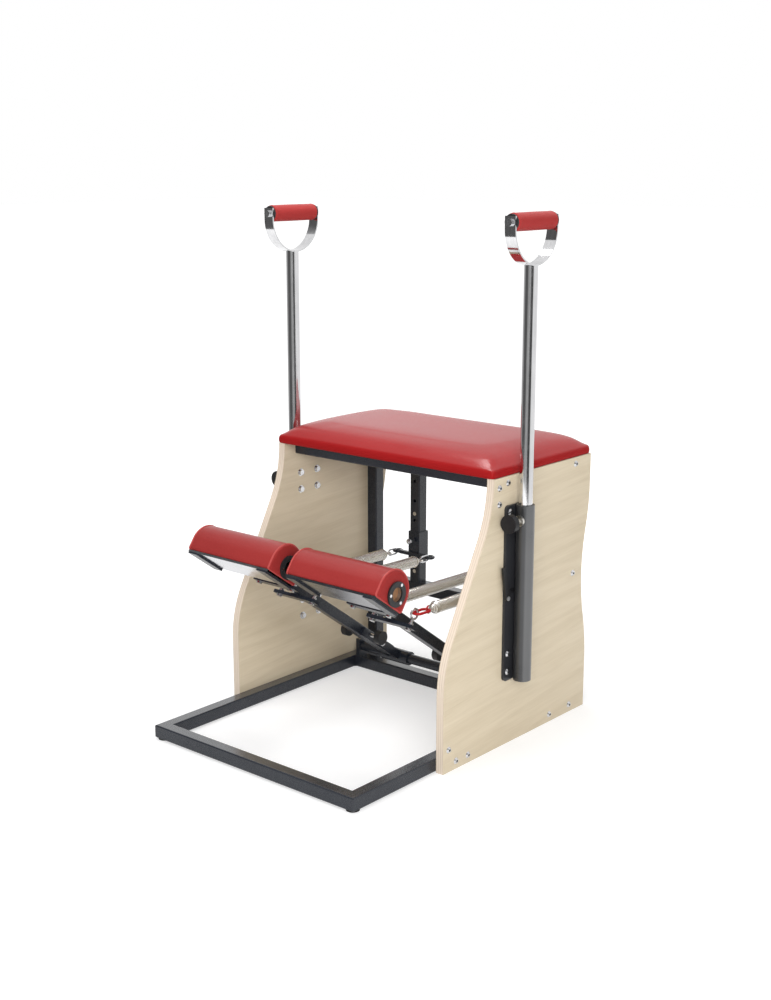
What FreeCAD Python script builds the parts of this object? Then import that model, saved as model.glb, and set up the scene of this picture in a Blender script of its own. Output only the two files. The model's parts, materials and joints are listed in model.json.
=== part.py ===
import FreeCAD, Part
import math
import os
import re

import Sketcher

Vector = FreeCAD.Vector
Rotation = FreeCAD.Rotation
Placement = FreeCAD.Placement

# Driving sizes in millimetres and degrees. A size called "back" is measured from the front edge
# of the side panels towards the rear, and one called "height" from the floor.
SIZES = {
    # plywood side panels
    "panel_height": 616,
    "panel_depth": 542,
    "panel_thick": 19,
    "inner_width": 600,
    "top_setback": 167,
    "toe_height": 170,
    "toe_radius": 250,
    "brow_radius": 280,
    "waist_low": 120,
    "waist_high": 66,
    "waist_radius": 468,
    # welded steel frame
    "tube_side": 30,
    "tube_wall": 2,
    "tube_corner": 3,
    "pad_height": 3,
    "pad_radius": 14.5,
    "base_reach": 265,
    "cross_tube_back": 383,
    "post_back": 465,
    "front_beam_back": 203,
    "lower_beam_height": 205,
    "lane_shift": 8.5,
    # seat
    "seat_inset": 0,
    "seat_front_back": 160,
    "seat_depth": 382,
    "seat_thick": 52,
    "seat_edge": 22,
    "seat_draw": 4,
    "seat_board_thick": 12,
    "seat_board_inset": 9,
    # panel bolts
    "bolt_radius": 4,
    "bolt_head_radius": 7.5,
    "bolt_head_height": 3.2,
    "bolt_socket_radius": 3.2,
    "bolt_socket_depth": 2,
    "bolt_grip": 8,
    "hole_gap": 0.2,
    "weld_lap": 1,
    "front_bolt_back": 45,
    "second_bolt_back": 87,
    "waist_bolt_height": 342,
    "toe_screw_back": 19,
    "toe_screw_height": 51,
    "brow_screw_back": 187,
    "brow_screw_height": 594,
    "brow_screw_drop": 36,
    "screw_bite": 15,
    # handle sockets on the outer faces
    "pole_back": 248,
    "pole_radius": 15,
    "pole_wall": 2,
    "pole_foot_height": 260,
    "socket_radius": 20,
    "socket_wall": 3.5,
    "socket_bottom": 153,
    "socket_top": 552,
    "plate_thick": 6,
    "plate_sink": 0.5,
    "plate_half": 43,
    "plate_corner": 10,
    "socket_bolt_spread": 28.5,
    "low_bolt_height": 174,
    "high_bolt_height": 495.5,
    "socket_bolt_rise": 41.5,
    "bush_length": 26,
    "middle_bush_height": 395,
    "running_gap": 0.05,
    "washer_radius": 9,
    "washer_thick": 1.5,
    "nut_radius": 6.5,
    "nut_height": 5,
    # clamp knob
    "knob_drop": 7,
    "knob_radius": 20,
    "knob_thick": 15,
    "knob_stem_radius": 5,
    "knob_reach": 64,
    "lock_nut_radius": 12,
    "lock_nut_thick": 6,
    "tip_gap": 0.3,
    # latch lever
    "lever_pivot_back": 209,
    "lever_pivot_height": 346,
    "lever_pin_radius": 3,
    "lever_thick": 5,
    "lever_tail_rise": 72,
    "lever_tail_lean": 17,
    "lever_nose_rise": 14,
    "lever_boss_radius": 7,
    "lever_head_radius": 5.1,
    "lever_head_thick": 2,
    # hand loops
    "loop_depth": 91,
    "bow_radius": 77.5,
    "bow_strip": 3.5,
    "bow_width": 27,
    "grip_height": 1153,
    "grip_radius": 19.5,
    "grip_length": 140,
    "grip_bolt_radius": 5,
    "bow_leg_over": 13,
    "acorn_radius": 8,
    "acorn_height": 6,
    # hinge of the pedal arms
    "shaft_height": 58,
    "shaft_radius": 12.5,
    "bracket_thick": 12,
    "bracket_over": 20,
    "side_gap": 2,
    "sleeve_wall": 5,
    "sleeve_length": 86,
    "arm_side": 25,
    "arm_tilt": 35.5,
    "arm_reach": 622,
    "arm_start": 42,
    "cheek_thick": 6,
    "cheek_length": 182,
    "cheek_up": 9,
    "cheek_down": 12,
    "cheek_bolt_reach": 100,
    "arm_knob_reach": 155,
    "arm_knob_radius": 17,
    "arm_knob_thick": 16,
    "arm_knob_out": 45,
    "arm_bolt_radius": 5,
    # spring bars under the arms
    "near_bar_reach": 432,
    "far_bar_reach": 511,
    "bar_width": 20,
    "bar_thick": 8,
    "bar_over": 13,
    "spring_spread": 51,
    "eye_rise": 14,
    "eye_radius": 11.5,
    "eye_wire": 2.5,
    # pedals
    "pedal_gap": 40,
    "pedal_side_gap": 17,
    "pedal_depth": 94,
    "pedal_crown": 47,
    "pedal_drop": 27,
    "pedal_ahead": 9,
    "pedal_tube_radius": 19,
    "dowel_radius": 15.4,
    "dowel_gap": 0.1,
    "dowel_length": 240,
    "dowel_sunk": 12,
    "flange_radius": 27,
    "flange_thick": 4,
    "flange_screw_circle": 21.5,
    "flange_screw_radius": 2.2,
    "flange_screw_head": 3.4,
    "flange_screw_cap": 1,
    "pedal_board_thick": 5,
    "pedal_board_inset": 6,
    "strap_width": 25,
    "strap_thick": 4,
    "strap_inset": 8,
    "strap_over": 1,
    "soft_gap": 0.3,
    # spring carriages on the rear posts
    "carriage_height": 290,
    "carriage_length": 76,
    "carriage_wall": 2,
    "carriage_gap": 0.4,
    "hook_height": 309,
    "hook_ahead": 13,
    "hook_ring": 10,
    "hook_wire": 3.5,
    "hook_plate_half": 42,
    "hook_plate_height": 9,
    "hook_plate_thick": 8,
    "pin_height": 345,
    "pin_radius": 4,
    "pin_parked": 0.3,
    "pin_length": 16,
    "pin_ball": 7,
    "pin_collar_radius": 7,
    "pin_collar_length": 4,
    "notch_pitch": 50,
    "post_screw_radius": 5,
    "post_screw_depth": 1.5,
    "post_screw_low": 263,
    "post_screw_high": 412,
    # springs, links and snap hooks
    "link_wire": 2,
    "link_half": 7,
    "link_ahead": 20,
    "spring_ring": 8,
    "spring_ring_wire": 2,
    "spring_radius": 13.5,
    "spring_wire": 1.9,
    "spring_curls": 25,
    "spring_lead": 4,
    "cone_length": 15,
    "cone_tip": 4,
    "cone_face": 14.4,
    "snap_length": 46,
    "snap_half": 10,
    "snap_wire": 3,
    "snap_setback": 1,
}

doc = FreeCAD.newDocument("pilates_chair")
sheet = doc.addObject("Spreadsheet::Sheet", "dims")
for row, (alias, number) in enumerate(SIZES.items(), 1):
    sheet.set(f"A{row}", alias.replace("_", " "))
    sheet.set(f"B{row}", str(number))
    sheet.setAlias(f"B{row}", alias)
doc.recompute()

# Places that several pieces share, as formulas of the sheet's cells.
FRONT = "(base_reach - panel_depth) / 2"
HALF = "inner_width / 2"
HINGE_Y = f"({FRONT} + cross_tube_back + tube_side / 2)"
POST_Y = f"({FRONT} + post_back)"
POST_MID = f"({POST_Y} + tube_side / 2)"
POLE_Y = f"({FRONT} + pole_back)"
SOCKET_X = f"({HALF} + panel_thick + plate_thick + socket_radius - plate_sink)"
BEAM_Z = "(panel_height - tube_side)"
BASE_MID = "(pad_height + tube_side / 2)"
HOOK_Y = f"({POST_Y} - hook_ahead)"
SEAT_WIDTH = "(inner_width + 2 * panel_thick - 2 * seat_inset)"
PEDAL_LENGTH = "((inner_width - pedal_gap) / 2 - pedal_side_gap)"
PEDAL_X = f"((pedal_gap + {PEDAL_LENGTH}) / 2)"
LANE_X = f"({PEDAL_X} - lane_shift)"
LOOP_FOOT = "(grip_height - loop_depth)"
KNOB_Z = "(socket_top - bush_length - knob_drop)"
TURN = {"x": Rotation(Vector(0, 1, 0), 90), "y": Rotation(Vector(1, 0, 0), -90), "z": Rotation()}
AXES = {"x": Vector(1, 0, 0), "y": Vector(0, 1, 0), "z": Vector(0, 0, 1)}
SIDES = {"left": -1, "right": 1}
nodes = {}


def cell(formula):
    """Put the sheet's name in front of each alias in a formula."""
    return re.sub(r"[a-z][a-z_]*", lambda word: "dims." * (word[0] in SIZES) + word[0], formula)


def value(formula):
    """Work out a formula as a plain number."""
    return float(sheet.evalExpression(cell(formula)))


def bind(thing, **formulas):
    """Bind properties to formulas; two underscores stand for a dot in the property's path."""
    for path, formula in formulas.items():
        thing.setExpression(path.replace("__", "."), cell(str(formula)))
    return thing


def put(thing, x, y, z, turn=None):
    """Bind an object's place to three formulas, after an optional fixed turn."""
    if turn is not None:
        thing.Placement = Placement(Vector(), turn)
    return bind(thing, Placement__Base__x=x, Placement__Base__y=y, Placement__Base__z=z)


def block(length, width, height, x, y, z):
    """A box with its lowest corner at x, y, z."""
    box = bind(doc.addObject("Part::Box", "block"), Length=length, Width=width, Height=height)
    return put(box, x, y, z)


def rod(radius, length, x, y, z, axis):
    """A cylinder that starts at x, y, z and runs along an axis."""
    cylinder = bind(doc.addObject("Part::Cylinder", "rod"), Radius=radius, Height=length)
    return put(cylinder, x, y, z, TURN[axis])


def cone(first, second, length, x, y, z, turn):
    """A cone from one radius to another, starting at x, y, z."""
    shape = bind(doc.addObject("Part::Cone", "cone"), Radius1=first, Radius2=second, Height=length)
    return put(shape, x, y, z, turn)


def ring(radius, wire, x, y, z, axis):
    """A closed wire ring about an axis."""
    torus = bind(doc.addObject("Part::Torus", "ring"), Radius1=radius, Radius2=wire)
    return put(torus, x, y, z, TURN[axis])


def cut(base, *tools):
    """Take the tools away from a base."""
    result = doc.addObject("Part::Cut", "cut")
    result.Base = base
    result.Tool = tools[0] if len(tools) == 1 else join(*tools)
    return result


def join(*pieces):
    """Weld pieces into one."""
    if len(pieces) == 1:
        return pieces[0]
    result = doc.addObject("Part::MultiFuse", "weld")
    result.Shapes = list(pieces)
    return result


def group(*pieces):
    """Keep separate solids together in one object."""
    result = doc.addObject("Part::Compound", "group")
    result.Links = list(pieces)
    return result


def name_part(label, thing):
    """Give a finished sub-part its own name."""
    thing.Label = label
    nodes[label] = thing
    return thing


def tilt(label, thing):
    """Turn a piece built along a level arm up to the pedals' rest angle, about the hinge shaft."""
    held = group(thing)
    held.Placement = Placement(Vector(), Rotation(Vector(1, 0, 0), -1))
    bind(held, Placement__Base__y=HINGE_Y, Placement__Base__z="shaft_height")
    bind(held, Placement__Rotation__Angle="-arm_tilt")
    return name_part(label, held)


def square_tube(length, axis, x, y, z, width="tube_side"):
    """A hollow square tube with rounded edges, its lowest corner at x, y, z."""
    sides = {"x": "Length", "y": "Width", "z": "Height"}
    hollow_width = f"{width} - 2 * tube_wall"
    outer = {side: length if along == axis else width for along, side in sides.items()}
    inner = {side: length if along == axis else hollow_width for along, side in sides.items()}
    body = doc.addObject("PartDesign::Body", "tube")
    bar = bind(body.newObject("PartDesign::AdditiveBox", "bar"), **outer)
    doc.recompute()
    long_edges = []
    for number, edge in enumerate(bar.Shape.Edges, 1):
        if abs(edge.tangentAt(edge.FirstParameter).dot(AXES[axis])) > 0.99:
            long_edges.append(f"Edge{number}")
    rounding = body.newObject("PartDesign::Fillet", "rounding")
    rounding.Base = (bar, long_edges)
    bind(rounding, Radius="tube_corner")
    hollow = bind(body.newObject("PartDesign::SubtractiveBox", "hollow"), **inner)
    for along in sides:
        if along != axis:
            hollow.setExpression(f"Placement.Base.{along}", cell("tube_wall"))
    return put(body, x, y, z)


def along_side(side, formula):
    """A sideways place, mirrored for the left side."""
    return f"{SIDES[side]} * ({formula})"


def from_side(side, near, thick):
    """The lowest x of a piece that starts at a distance from the middle and is so thick."""
    return f"{near}" if side == "right" else f"-({near}) - ({thick})"


def outward_rod(side, radius, near, length, y, z):
    """A rod across the chair that starts at a distance from the middle and runs outwards."""
    return rod(radius, length, from_side(side, near, length), y, z, "x")


def panel_outline(sketch):
    """The panel seen from the side: toe, sloping S curve, brow, top, waisted back and foot."""
    depth, height = value("panel_depth"), value("panel_height")
    toe, setback = value("toe_height"), value("top_setback")
    toe_radius, brow_radius = value("toe_radius"), value("brow_radius")
    waist_low, waist_top = value("waist_low"), height - value("waist_high")
    waist_radius = value("waist_radius")
    toe_centre = Vector(toe_radius, toe, 0)
    brow_centre = Vector(setback - brow_radius, height, 0)
    # The slope is the inner common tangent of the toe and brow circles.
    between = brow_centre - toe_centre
    reach = math.hypot(between.x, between.y)
    slope = math.atan2(between.y, -between.x) - math.acos((toe_radius + brow_radius) / reach)
    off_toe = Vector(-math.cos(slope), math.sin(slope), 0)
    slope_low = toe_centre + off_toe * toe_radius
    slope_top = brow_centre - off_toe * brow_radius
    # Each half of the waist is a pair of equal arcs.
    swing = math.asin((waist_top - waist_low) / (4 * waist_radius))
    low_centre = Vector(depth - waist_radius, waist_low, 0)
    top_centre = Vector(depth - waist_radius, waist_top, 0)
    waist_y = depth - waist_radius + 2 * waist_radius * math.cos(swing)
    waist_centre = Vector(waist_y, (waist_low + waist_top) / 2, 0)

    def line(start, end):
        sketch.addGeometry(Part.LineSegment(start, end), False)

    def arc(centre, radius, start, end):
        circle = Part.Circle(centre, Vector(0, 0, 1), radius)
        sketch.addGeometry(Part.ArcOfCircle(circle, start, end), False)

    line(Vector(0, 0, 0), Vector(depth, 0, 0))
    line(Vector(depth, 0, 0), Vector(depth, waist_low, 0))
    arc(low_centre, waist_radius, 0, swing)
    arc(waist_centre, waist_radius, math.pi - swing, math.pi + swing)
    arc(top_centre, waist_radius, 2 * math.pi - swing, 2 * math.pi)
    line(Vector(depth, waist_top, 0), Vector(depth, height, 0))
    line(Vector(depth, height, 0), Vector(setback, height, 0))
    arc(brow_centre, brow_radius, 2 * math.pi - slope, 2 * math.pi)
    line(slope_top, slope_low)
    arc(toe_centre, toe_radius, math.pi - slope, math.pi)
    line(Vector(0, toe, 0), Vector(0, 0, 0))

    start, end, centre = 1, 2, 3
    foot, heel, low_arc, waist_arc, top_arc, nape, crown, brow, ramp, toe_arc, shin = range(11)
    constrain = sketch.addConstraint
    constrain(Sketcher.Constraint("Coincident", foot, start, -1, 1))
    constrain(Sketcher.Constraint("Coincident", foot, end, heel, start))
    constrain(Sketcher.Constraint("Tangent", heel, end, low_arc, start))
    constrain(Sketcher.Constraint("Tangent", low_arc, end, waist_arc, end))
    constrain(Sketcher.Constraint("Tangent", waist_arc, start, top_arc, start))
    constrain(Sketcher.Constraint("Tangent", top_arc, end, nape, start))
    constrain(Sketcher.Constraint("Coincident", nape, end, crown, start))
    constrain(Sketcher.Constraint("Coincident", crown, end, brow, end))
    constrain(Sketcher.Constraint("PointOnObject", brow, centre, crown))
    constrain(Sketcher.Constraint("Tangent", brow, start, ramp, start))
    constrain(Sketcher.Constraint("Tangent", ramp, end, toe_arc, start))
    constrain(Sketcher.Constraint("Tangent", toe_arc, end, shin, start))
    constrain(Sketcher.Constraint("Coincident", shin, end, foot, start))
    for level in (foot, crown):
        constrain(Sketcher.Constraint("Horizontal", level))
    for upright in (heel, nape, shin):
        constrain(Sketcher.Constraint("Vertical", upright))
    for twin in (low_arc, top_arc):
        constrain(Sketcher.Constraint("Equal", twin, waist_arc))
    driven = [
        (Sketcher.Constraint("DistanceX", foot, start, foot, end, depth), "panel_depth"),
        (Sketcher.Constraint("DistanceY", foot, start, crown, end, height), "panel_height"),
        (Sketcher.Constraint("DistanceX", foot, start, crown, end, setback), "top_setback"),
        (Sketcher.Constraint("DistanceY", shin, end, shin, start, toe), "toe_height"),
        (Sketcher.Constraint("DistanceY", heel, start, heel, end, waist_low), "waist_low"),
        (Sketcher.Constraint("DistanceY", nape, start, nape, end, value("waist_high")), "waist_high"),
        (Sketcher.Constraint("Radius", toe_arc, toe_radius), "toe_radius"),
        (Sketcher.Constraint("Radius", brow, brow_radius), "brow_radius"),
        (Sketcher.Constraint("Radius", waist_arc, waist_radius), "waist_radius"),
    ]
    for constraint, alias in driven:
        number = constrain(constraint)
        sketch.setExpression(f"Constraints[{number}]", cell(alias))


def frame_bolt_places():
    """Depth and height of each machine bolt that ties a side panel to the frame."""
    return [
        (f"{FRONT} + front_bolt_back", BASE_MID),
        (f"{FRONT} + second_bolt_back", BASE_MID),
        (HINGE_Y, BASE_MID),
        (POST_MID, BASE_MID),
        (POST_MID, "waist_bolt_height"),
        (POST_MID, f"{BEAM_Z} + tube_side / 2"),
        (f"{FRONT} + front_beam_back + tube_side / 2", f"{BEAM_Z} + tube_side / 2"),
    ]


def panel_screw_places():
    """Depth and height of each short screw in a panel's front corners."""
    return [
        (f"{FRONT} + toe_screw_back", "toe_screw_height"),
        (f"{FRONT} + brow_screw_back", "brow_screw_height"),
        (f"{FRONT} + brow_screw_back", "brow_screw_height - brow_screw_drop"),
    ]


def socket_bolt_places():
    """Depth and height of the eight bolts of a handle socket."""
    heights = []
    for row in ("low_bolt_height", "high_bolt_height"):
        heights += [row, f"{row} + socket_bolt_rise"]
    depths = [f"{POLE_Y} - socket_bolt_spread", f"{POLE_Y} + socket_bolt_spread"]
    return [(depth, height) for depth in depths for height in heights]


def headed(side, face, length, y, z):
    """A bolt with a domed, hex-socket head on an outward face and a shank that runs inwards from it."""
    turn = TURN["x"] if side == "right" else Rotation(Vector(0, 1, 0), -90)
    x = along_side(side, face)
    head = cone("bolt_head_radius", "bolt_head_radius * 0.62", "bolt_head_height", x, y, z, turn)
    shank = outward_rod(side, "bolt_radius", f"{face} - ({length})", length, y, z)
    key = doc.addObject("Part::Prism", "key")
    key.Polygon = 6
    bind(key, Circumradius="bolt_socket_radius", Height="bolt_socket_depth")
    put(key, along_side(side, f"{face} + bolt_head_height - bolt_socket_depth"), y, z, turn)
    return cut(join(head, shank), key)


def bolt_holes(side, places, near, length):
    """Clearance holes for a set of bolts across one side of the chair."""
    return [outward_rod(side, "bolt_radius + hole_gap", near, length, y, z) for y, z in places]


PANEL_FACE = f"{HALF} + panel_thick"
PLATE_FACE = f"{HALF} + panel_thick + plate_thick"
BOLT_LENGTH = "panel_thick + bolt_grip"
SOCKET_BOLT_LENGTH = "plate_thick + panel_thick + washer_thick + nut_height"


def build_panels():
    """Two plywood sides, drilled for their bolts."""
    for side in SIDES:
        body = doc.addObject("PartDesign::Body", f"{side}_panel_body")
        sketch = body.newObject("Sketcher::SketchObject", "outline")
        plane = [part for part in body.Origin.OriginFeatures if part.Role == "YZ_Plane"][0]
        sketch.AttachmentSupport = (plane, [""])
        sketch.MapMode = "FlatFace"
        panel_outline(sketch)
        pad = body.newObject("PartDesign::Pad", "board")
        pad.Profile = sketch
        bind(pad, Length="panel_thick")
        put(body, from_side(side, HALF, "panel_thick"), FRONT, "0")
        through = bolt_holes(side, frame_bolt_places() + socket_bolt_places(), HALF, "panel_thick")
        blind = bolt_holes(side, panel_screw_places(), f"{PANEL_FACE} - screw_bite", "screw_bite")
        name_part(f"{side}_panel", cut(body, *through, *blind))


def mitre(side, keep):
    """A turned block that takes the far half of a base corner away, so that two tubes meet at 45 degrees."""
    size = "2 * tube_side"
    reach = f"{size} * cos(45)"
    y = f"{FRONT} - base_reach"
    turn = Rotation(Vector(0, 0, 1), 45 if side == "left" else -45)
    places = {
        ("left", "front"): (f"-{HALF}", y),
        ("left", "side"): (f"-{HALF} + {reach}", f"{y} - {reach}"),
        ("right", "front"): (f"{HALF} - {reach}", f"{y} + {reach}"),
        ("right", "side"): (f"{HALF} - 2 * {reach}", y),
    }
    x, depth = places[side, keep]
    tool = bind(doc.addObject("Part::Box", "mitre"), Length=size, Width=size, Height="tube_side")
    return put(tool, x, depth, "pad_height", turn)


def build_frame():
    """The welded tube frame: base, rear posts, beams and the spring posts."""
    front_y = f"{FRONT} - base_reach"
    front = square_tube("inner_width", "x", f"-{HALF}", front_y, "pad_height")
    name_part("base_front_tube", cut(front, mitre("left", "front"), mitre("right", "front")))
    inside = "inner_width - 2 * tube_side"
    posts = []
    for side in SIDES:
        near = from_side(side, f"{HALF} - tube_side", "tube_side")
        holes = bolt_holes(side, frame_bolt_places()[:3], f"{HALF} - tube_side / 2", "tube_side / 2")
        runner = square_tube("base_reach + post_back", "y", near, front_y, "pad_height")
        name_part(f"base_{side}_tube", cut(runner, mitre(side, "side"), *holes))
        holes = bolt_holes(side, frame_bolt_places()[3:6], f"{HALF} - tube_side / 2", "tube_side / 2")
        post = square_tube("panel_height - pad_height", "z", near, POST_Y, "pad_height")
        posts.append(cut(post, *holes))
    name_part("rear_posts", group(*posts))
    cross_y = f"{FRONT} + cross_tube_back"
    name_part("rear_cross_tube", square_tube(inside, "x", f"-{HALF} + tube_side", cross_y, "pad_height"))
    beam_y = f"{FRONT} + front_beam_back"
    front_beam = square_tube("inner_width", "x", f"-{HALF}", beam_y, BEAM_Z)
    upper = square_tube(inside, "x", f"-{HALF} + tube_side", POST_Y, BEAM_Z)
    lower = square_tube(inside, "x", f"-{HALF} + tube_side", POST_Y, "lower_beam_height")
    name_part("cross_beams", group(front_beam, upper, lower))
    name_part("spring_posts", group(*[spring_post(side) for side in SIDES]))
    pads = []
    for side in SIDES:
        x = along_side(side, f"{HALF} - tube_side / 2")
        for y in (f"{FRONT} - base_reach + tube_side / 2", POST_MID, HINGE_Y):
            pads.append(rod("pad_radius", "pad_height", x, y, "0", "z"))
    name_part("foot_pads", group(*pads))


def post_screws(side, gap):
    """The flush screws in the front of a spring post."""
    screws = []
    for height in ("post_screw_low", "post_screw_high"):
        x = along_side(side, LANE_X)
        screws.append(rod(f"post_screw_radius + {gap}", "post_screw_depth", x, POST_Y, height, "y"))
    return screws


def spring_post(side):
    """A post between the rear beams, with a row of index holes in its front."""
    bottom = "(lower_beam_height + tube_side)"
    x = along_side(side, LANE_X)
    post = square_tube(f"{BEAM_Z} - {bottom}", "z", f"{x} - tube_side / 2", POST_Y, bottom)
    holes = []
    for step in range(-1, 4):
        height = f"pin_height + {step} * notch_pitch"
        holes.append(rod("pin_radius + hole_gap", "tube_side / 2", x, POST_Y, height, "y"))
    return cut(post, *holes, *post_screws(side, "hole_gap / 2"))


def build_fasteners():
    """Panel bolts, corner screws and post screws in one set, socket bolts and nuts in another."""
    bolts, socket_bolts = [], []
    for side in SIDES:
        bolts += [headed(side, PANEL_FACE, BOLT_LENGTH, y, z) for y, z in frame_bolt_places()]
        bolts += [headed(side, PANEL_FACE, "screw_bite", y, z) for y, z in panel_screw_places()]
        bolts += post_screws(side, "0")
        for y, z in socket_bolt_places():
            bolt = headed(side, PLATE_FACE, SOCKET_BOLT_LENGTH, y, z)
            washer_x = f"{HALF} - washer_thick"
            washer = outward_rod(side, "washer_radius", washer_x, "washer_thick", y, z)
            nut = outward_rod(side, "nut_radius", f"{washer_x} - nut_height", "nut_height", y, z)
            socket_bolts.append(join(bolt, washer, nut))
    name_part("frame_bolts", group(*bolts))
    name_part("socket_bolts", group(*socket_bolts))


def seat_section(share):
    """One slice across the seat, at a share of its half width: flat foot, bulging edges, crowned top."""
    x = share * value(SEAT_WIDTH) / 2
    full_edge, full_thick = value("seat_edge"), value("seat_thick")
    crown = full_edge + (full_thick - full_edge) * (1 - 0.75 * share ** 4)
    draw = value("seat_draw") * (1 - share ** 2)
    front = value(f"{FRONT} + seat_front_back") + draw
    back = value(f"{FRONT} + seat_front_back + seat_depth") - draw
    edge = full_edge * (0.55 + 0.45 * crown / full_thick)
    bulge = value("seat_draw")
    soft = (back - front) * 0.16
    low = value("panel_height")

    def point(y, rise):
        return Vector(x, y, low + rise)

    shoulder = edge + (crown - edge) * 0.82
    points = [point(front + bulge, 0), point(back - bulge, 0)]
    back_edge = Part.Arc(points[1], point(back, edge * 0.55), point(back - bulge * 0.3, edge)).toShape()
    back_slope = Part.Arc(
        point(back - bulge * 0.3, edge),
        point(back - soft * 0.36, edge + (shoulder - edge) * 0.68),
        point(back - soft, shoulder),
    ).toShape()
    top = Part.Arc(
        point(back - soft, shoulder),
        point((front + back) / 2, crown),
        point(front + soft, shoulder),
    ).toShape()
    front_slope = Part.Arc(
        point(front + soft, shoulder),
        point(front + soft * 0.36, edge + (shoulder - edge) * 0.68),
        point(front + bulge * 0.3, edge),
    ).toShape()
    front_edge = Part.Arc(point(front + bulge * 0.3, edge), point(front, edge * 0.55), points[0]).toShape()
    foot = Part.LineSegment(points[0], points[1]).toShape()
    return Part.Wire([foot, back_edge, back_slope, top, front_slope, front_edge])


def build_seat():
    """The upholstered seat: a plywood board inside a crowned cushion."""
    inset = "seat_board_inset"
    name_part("seat_board", block(
        f"{SEAT_WIDTH} - 2 * {inset}",
        f"seat_depth - 2 * {inset} - 2 * seat_draw",
        "seat_board_thick",
        f"-{SEAT_WIDTH} / 2 + {inset}",
        f"{FRONT} + seat_front_back + {inset} + seat_draw",
        "panel_height",
    ))
    shape = Part.makeLoft([seat_section(third / 3) for third in range(-3, 4)], True, False)
    gap = value("soft_gap")
    recess = Part.makeBox(
        value(f"{SEAT_WIDTH} - 2 * {inset}") + 2 * gap,
        value(f"seat_depth - 2 * {inset} - 2 * seat_draw") + 2 * gap,
        value("seat_board_thick") + gap,
        Vector(
            value(f"-{SEAT_WIDTH} / 2 + {inset}") - gap,
            value(f"{FRONT} + seat_front_back + {inset} + seat_draw") - gap,
            value("panel_height"),
        ),
    )
    cushion = doc.addObject("Part::Feature", "seat_cushion")
    cushion.Shape = shape.cut(recess)
    name_part("seat_cushion", cushion)


def rounded_plate(length_x, width_y, height_z, x, y, z, corner):
    """A plate with four rounded corners, flat against the panel."""
    body = doc.addObject("PartDesign::Body", "plate")
    plate = body.newObject("PartDesign::AdditiveBox", "sheet")
    bind(plate, Length=length_x, Width=width_y, Height=height_z)
    doc.recompute()
    corners = []
    for number, edge in enumerate(plate.Shape.Edges, 1):
        if abs(edge.tangentAt(edge.FirstParameter).dot(AXES["x"])) > 0.99:
            corners.append(f"Edge{number}")
    rounding = body.newObject("PartDesign::Fillet", "corners")
    rounding.Base = (plate, corners)
    bind(rounding, Radius=corner)
    return put(body, x, y, z)


def build_sockets():
    """Handle sockets: a back plate with a welded tube, a lever pin, and plastic bushes inside."""
    bushes = []
    for side in SIDES:
        x = along_side(side, SOCKET_X)
        plate = rounded_plate(
            "plate_thick",
            "2 * plate_half",
            "socket_top - socket_bottom",
            from_side(side, PANEL_FACE, "plate_thick"),
            f"{POLE_Y} - plate_half",
            "socket_bottom",
            "plate_corner",
        )
        length = "socket_top - socket_bottom"
        tube = rod("socket_radius", length, x, POLE_Y, "socket_bottom", "z")
        bore = rod("socket_radius - socket_wall", length, x, POLE_Y, "socket_bottom", "z")
        pivot = (f"{FRONT} + lever_pivot_back", "lever_pivot_height")
        pin_length = "lever_thick + 4 * soft_gap + weld_lap"
        pin = outward_rod(side, "lever_pin_radius", f"{PLATE_FACE} - weld_lap", pin_length, *pivot)
        head_near = f"{PLATE_FACE} + lever_thick + 3 * soft_gap"
        head = outward_rod(side, "lever_head_radius", head_near, "lever_head_thick", *pivot)
        holes = bolt_holes(side, socket_bolt_places(), PANEL_FACE, "plate_thick")
        stem_y = f"{POLE_Y} - socket_radius * 1.2"
        stem_hole = rod("knob_stem_radius + running_gap", "socket_radius", x, stem_y, KNOB_Z, "y")
        slot = block(
            "lever_thick + 4 * soft_gap",
            "socket_radius * 2",
            "4 * lever_nose_rise",
            from_side(side, PLATE_FACE, "lever_thick + 4 * soft_gap"),
            f"{POLE_Y} - socket_radius * 2",
            "lever_pivot_height - lever_nose_rise",
        )
        welded = join(plate, tube, pin, head)
        name_part(f"{side}_handle_socket", cut(welded, bore, stem_hole, slot_clear(slot, side), *holes))
        for foot in ("socket_top - bush_length", "middle_bush_height"):
            shell = rod("socket_radius - socket_wall", "bush_length", x, POLE_Y, foot, "z")
            hole = rod("pole_radius + running_gap", "bush_length", x, POLE_Y, foot, "z")
            bushes.append(cut(shell, hole))
    name_part("socket_bushes", group(*bushes))


def slot_clear(slot, side):
    """The part of the lever's slot that lies in the tube's wall and not in the back plate or pin."""
    keep = block(
        "socket_radius",
        "socket_radius",
        "4 * lever_nose_rise",
        from_side(side, PLATE_FACE, "socket_radius"),
        f"{POLE_Y} - socket_radius",
        "lever_pivot_height - lever_nose_rise",
    )
    shared = doc.addObject("Part::MultiCommon", "slot")
    shared.Shapes = [slot, keep]
    return shared


def lever_outline():
    """Corner points of the latch lever about its pivot: tail up and forward, nose back into the socket."""
    rise, lean = value("lever_tail_rise"), value("lever_tail_lean")
    boss, nose = value("lever_boss_radius"), value("lever_nose_rise")
    offset = value("socket_radius - plate_sink") - value("lever_thick") - 2 * value("soft_gap")
    pole_face = math.sqrt(value("pole_radius") ** 2 - offset ** 2)
    tip = value("pole_back - lever_pivot_back") - pole_face - value("tip_gap")
    return [
        (-boss, -boss * 0.4),
        (-boss * 0.4, -boss),
        (boss * 0.6, -boss * 0.8),
        (boss * 1.1, nose - boss * 0.7),
        (tip, nose - boss * 0.5),
        (tip, nose + boss * 0.3),
        (boss, nose + boss * 0.5),
        (-lean + boss * 0.9, rise),
        (-lean - boss * 0.5, rise),
    ]


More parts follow.
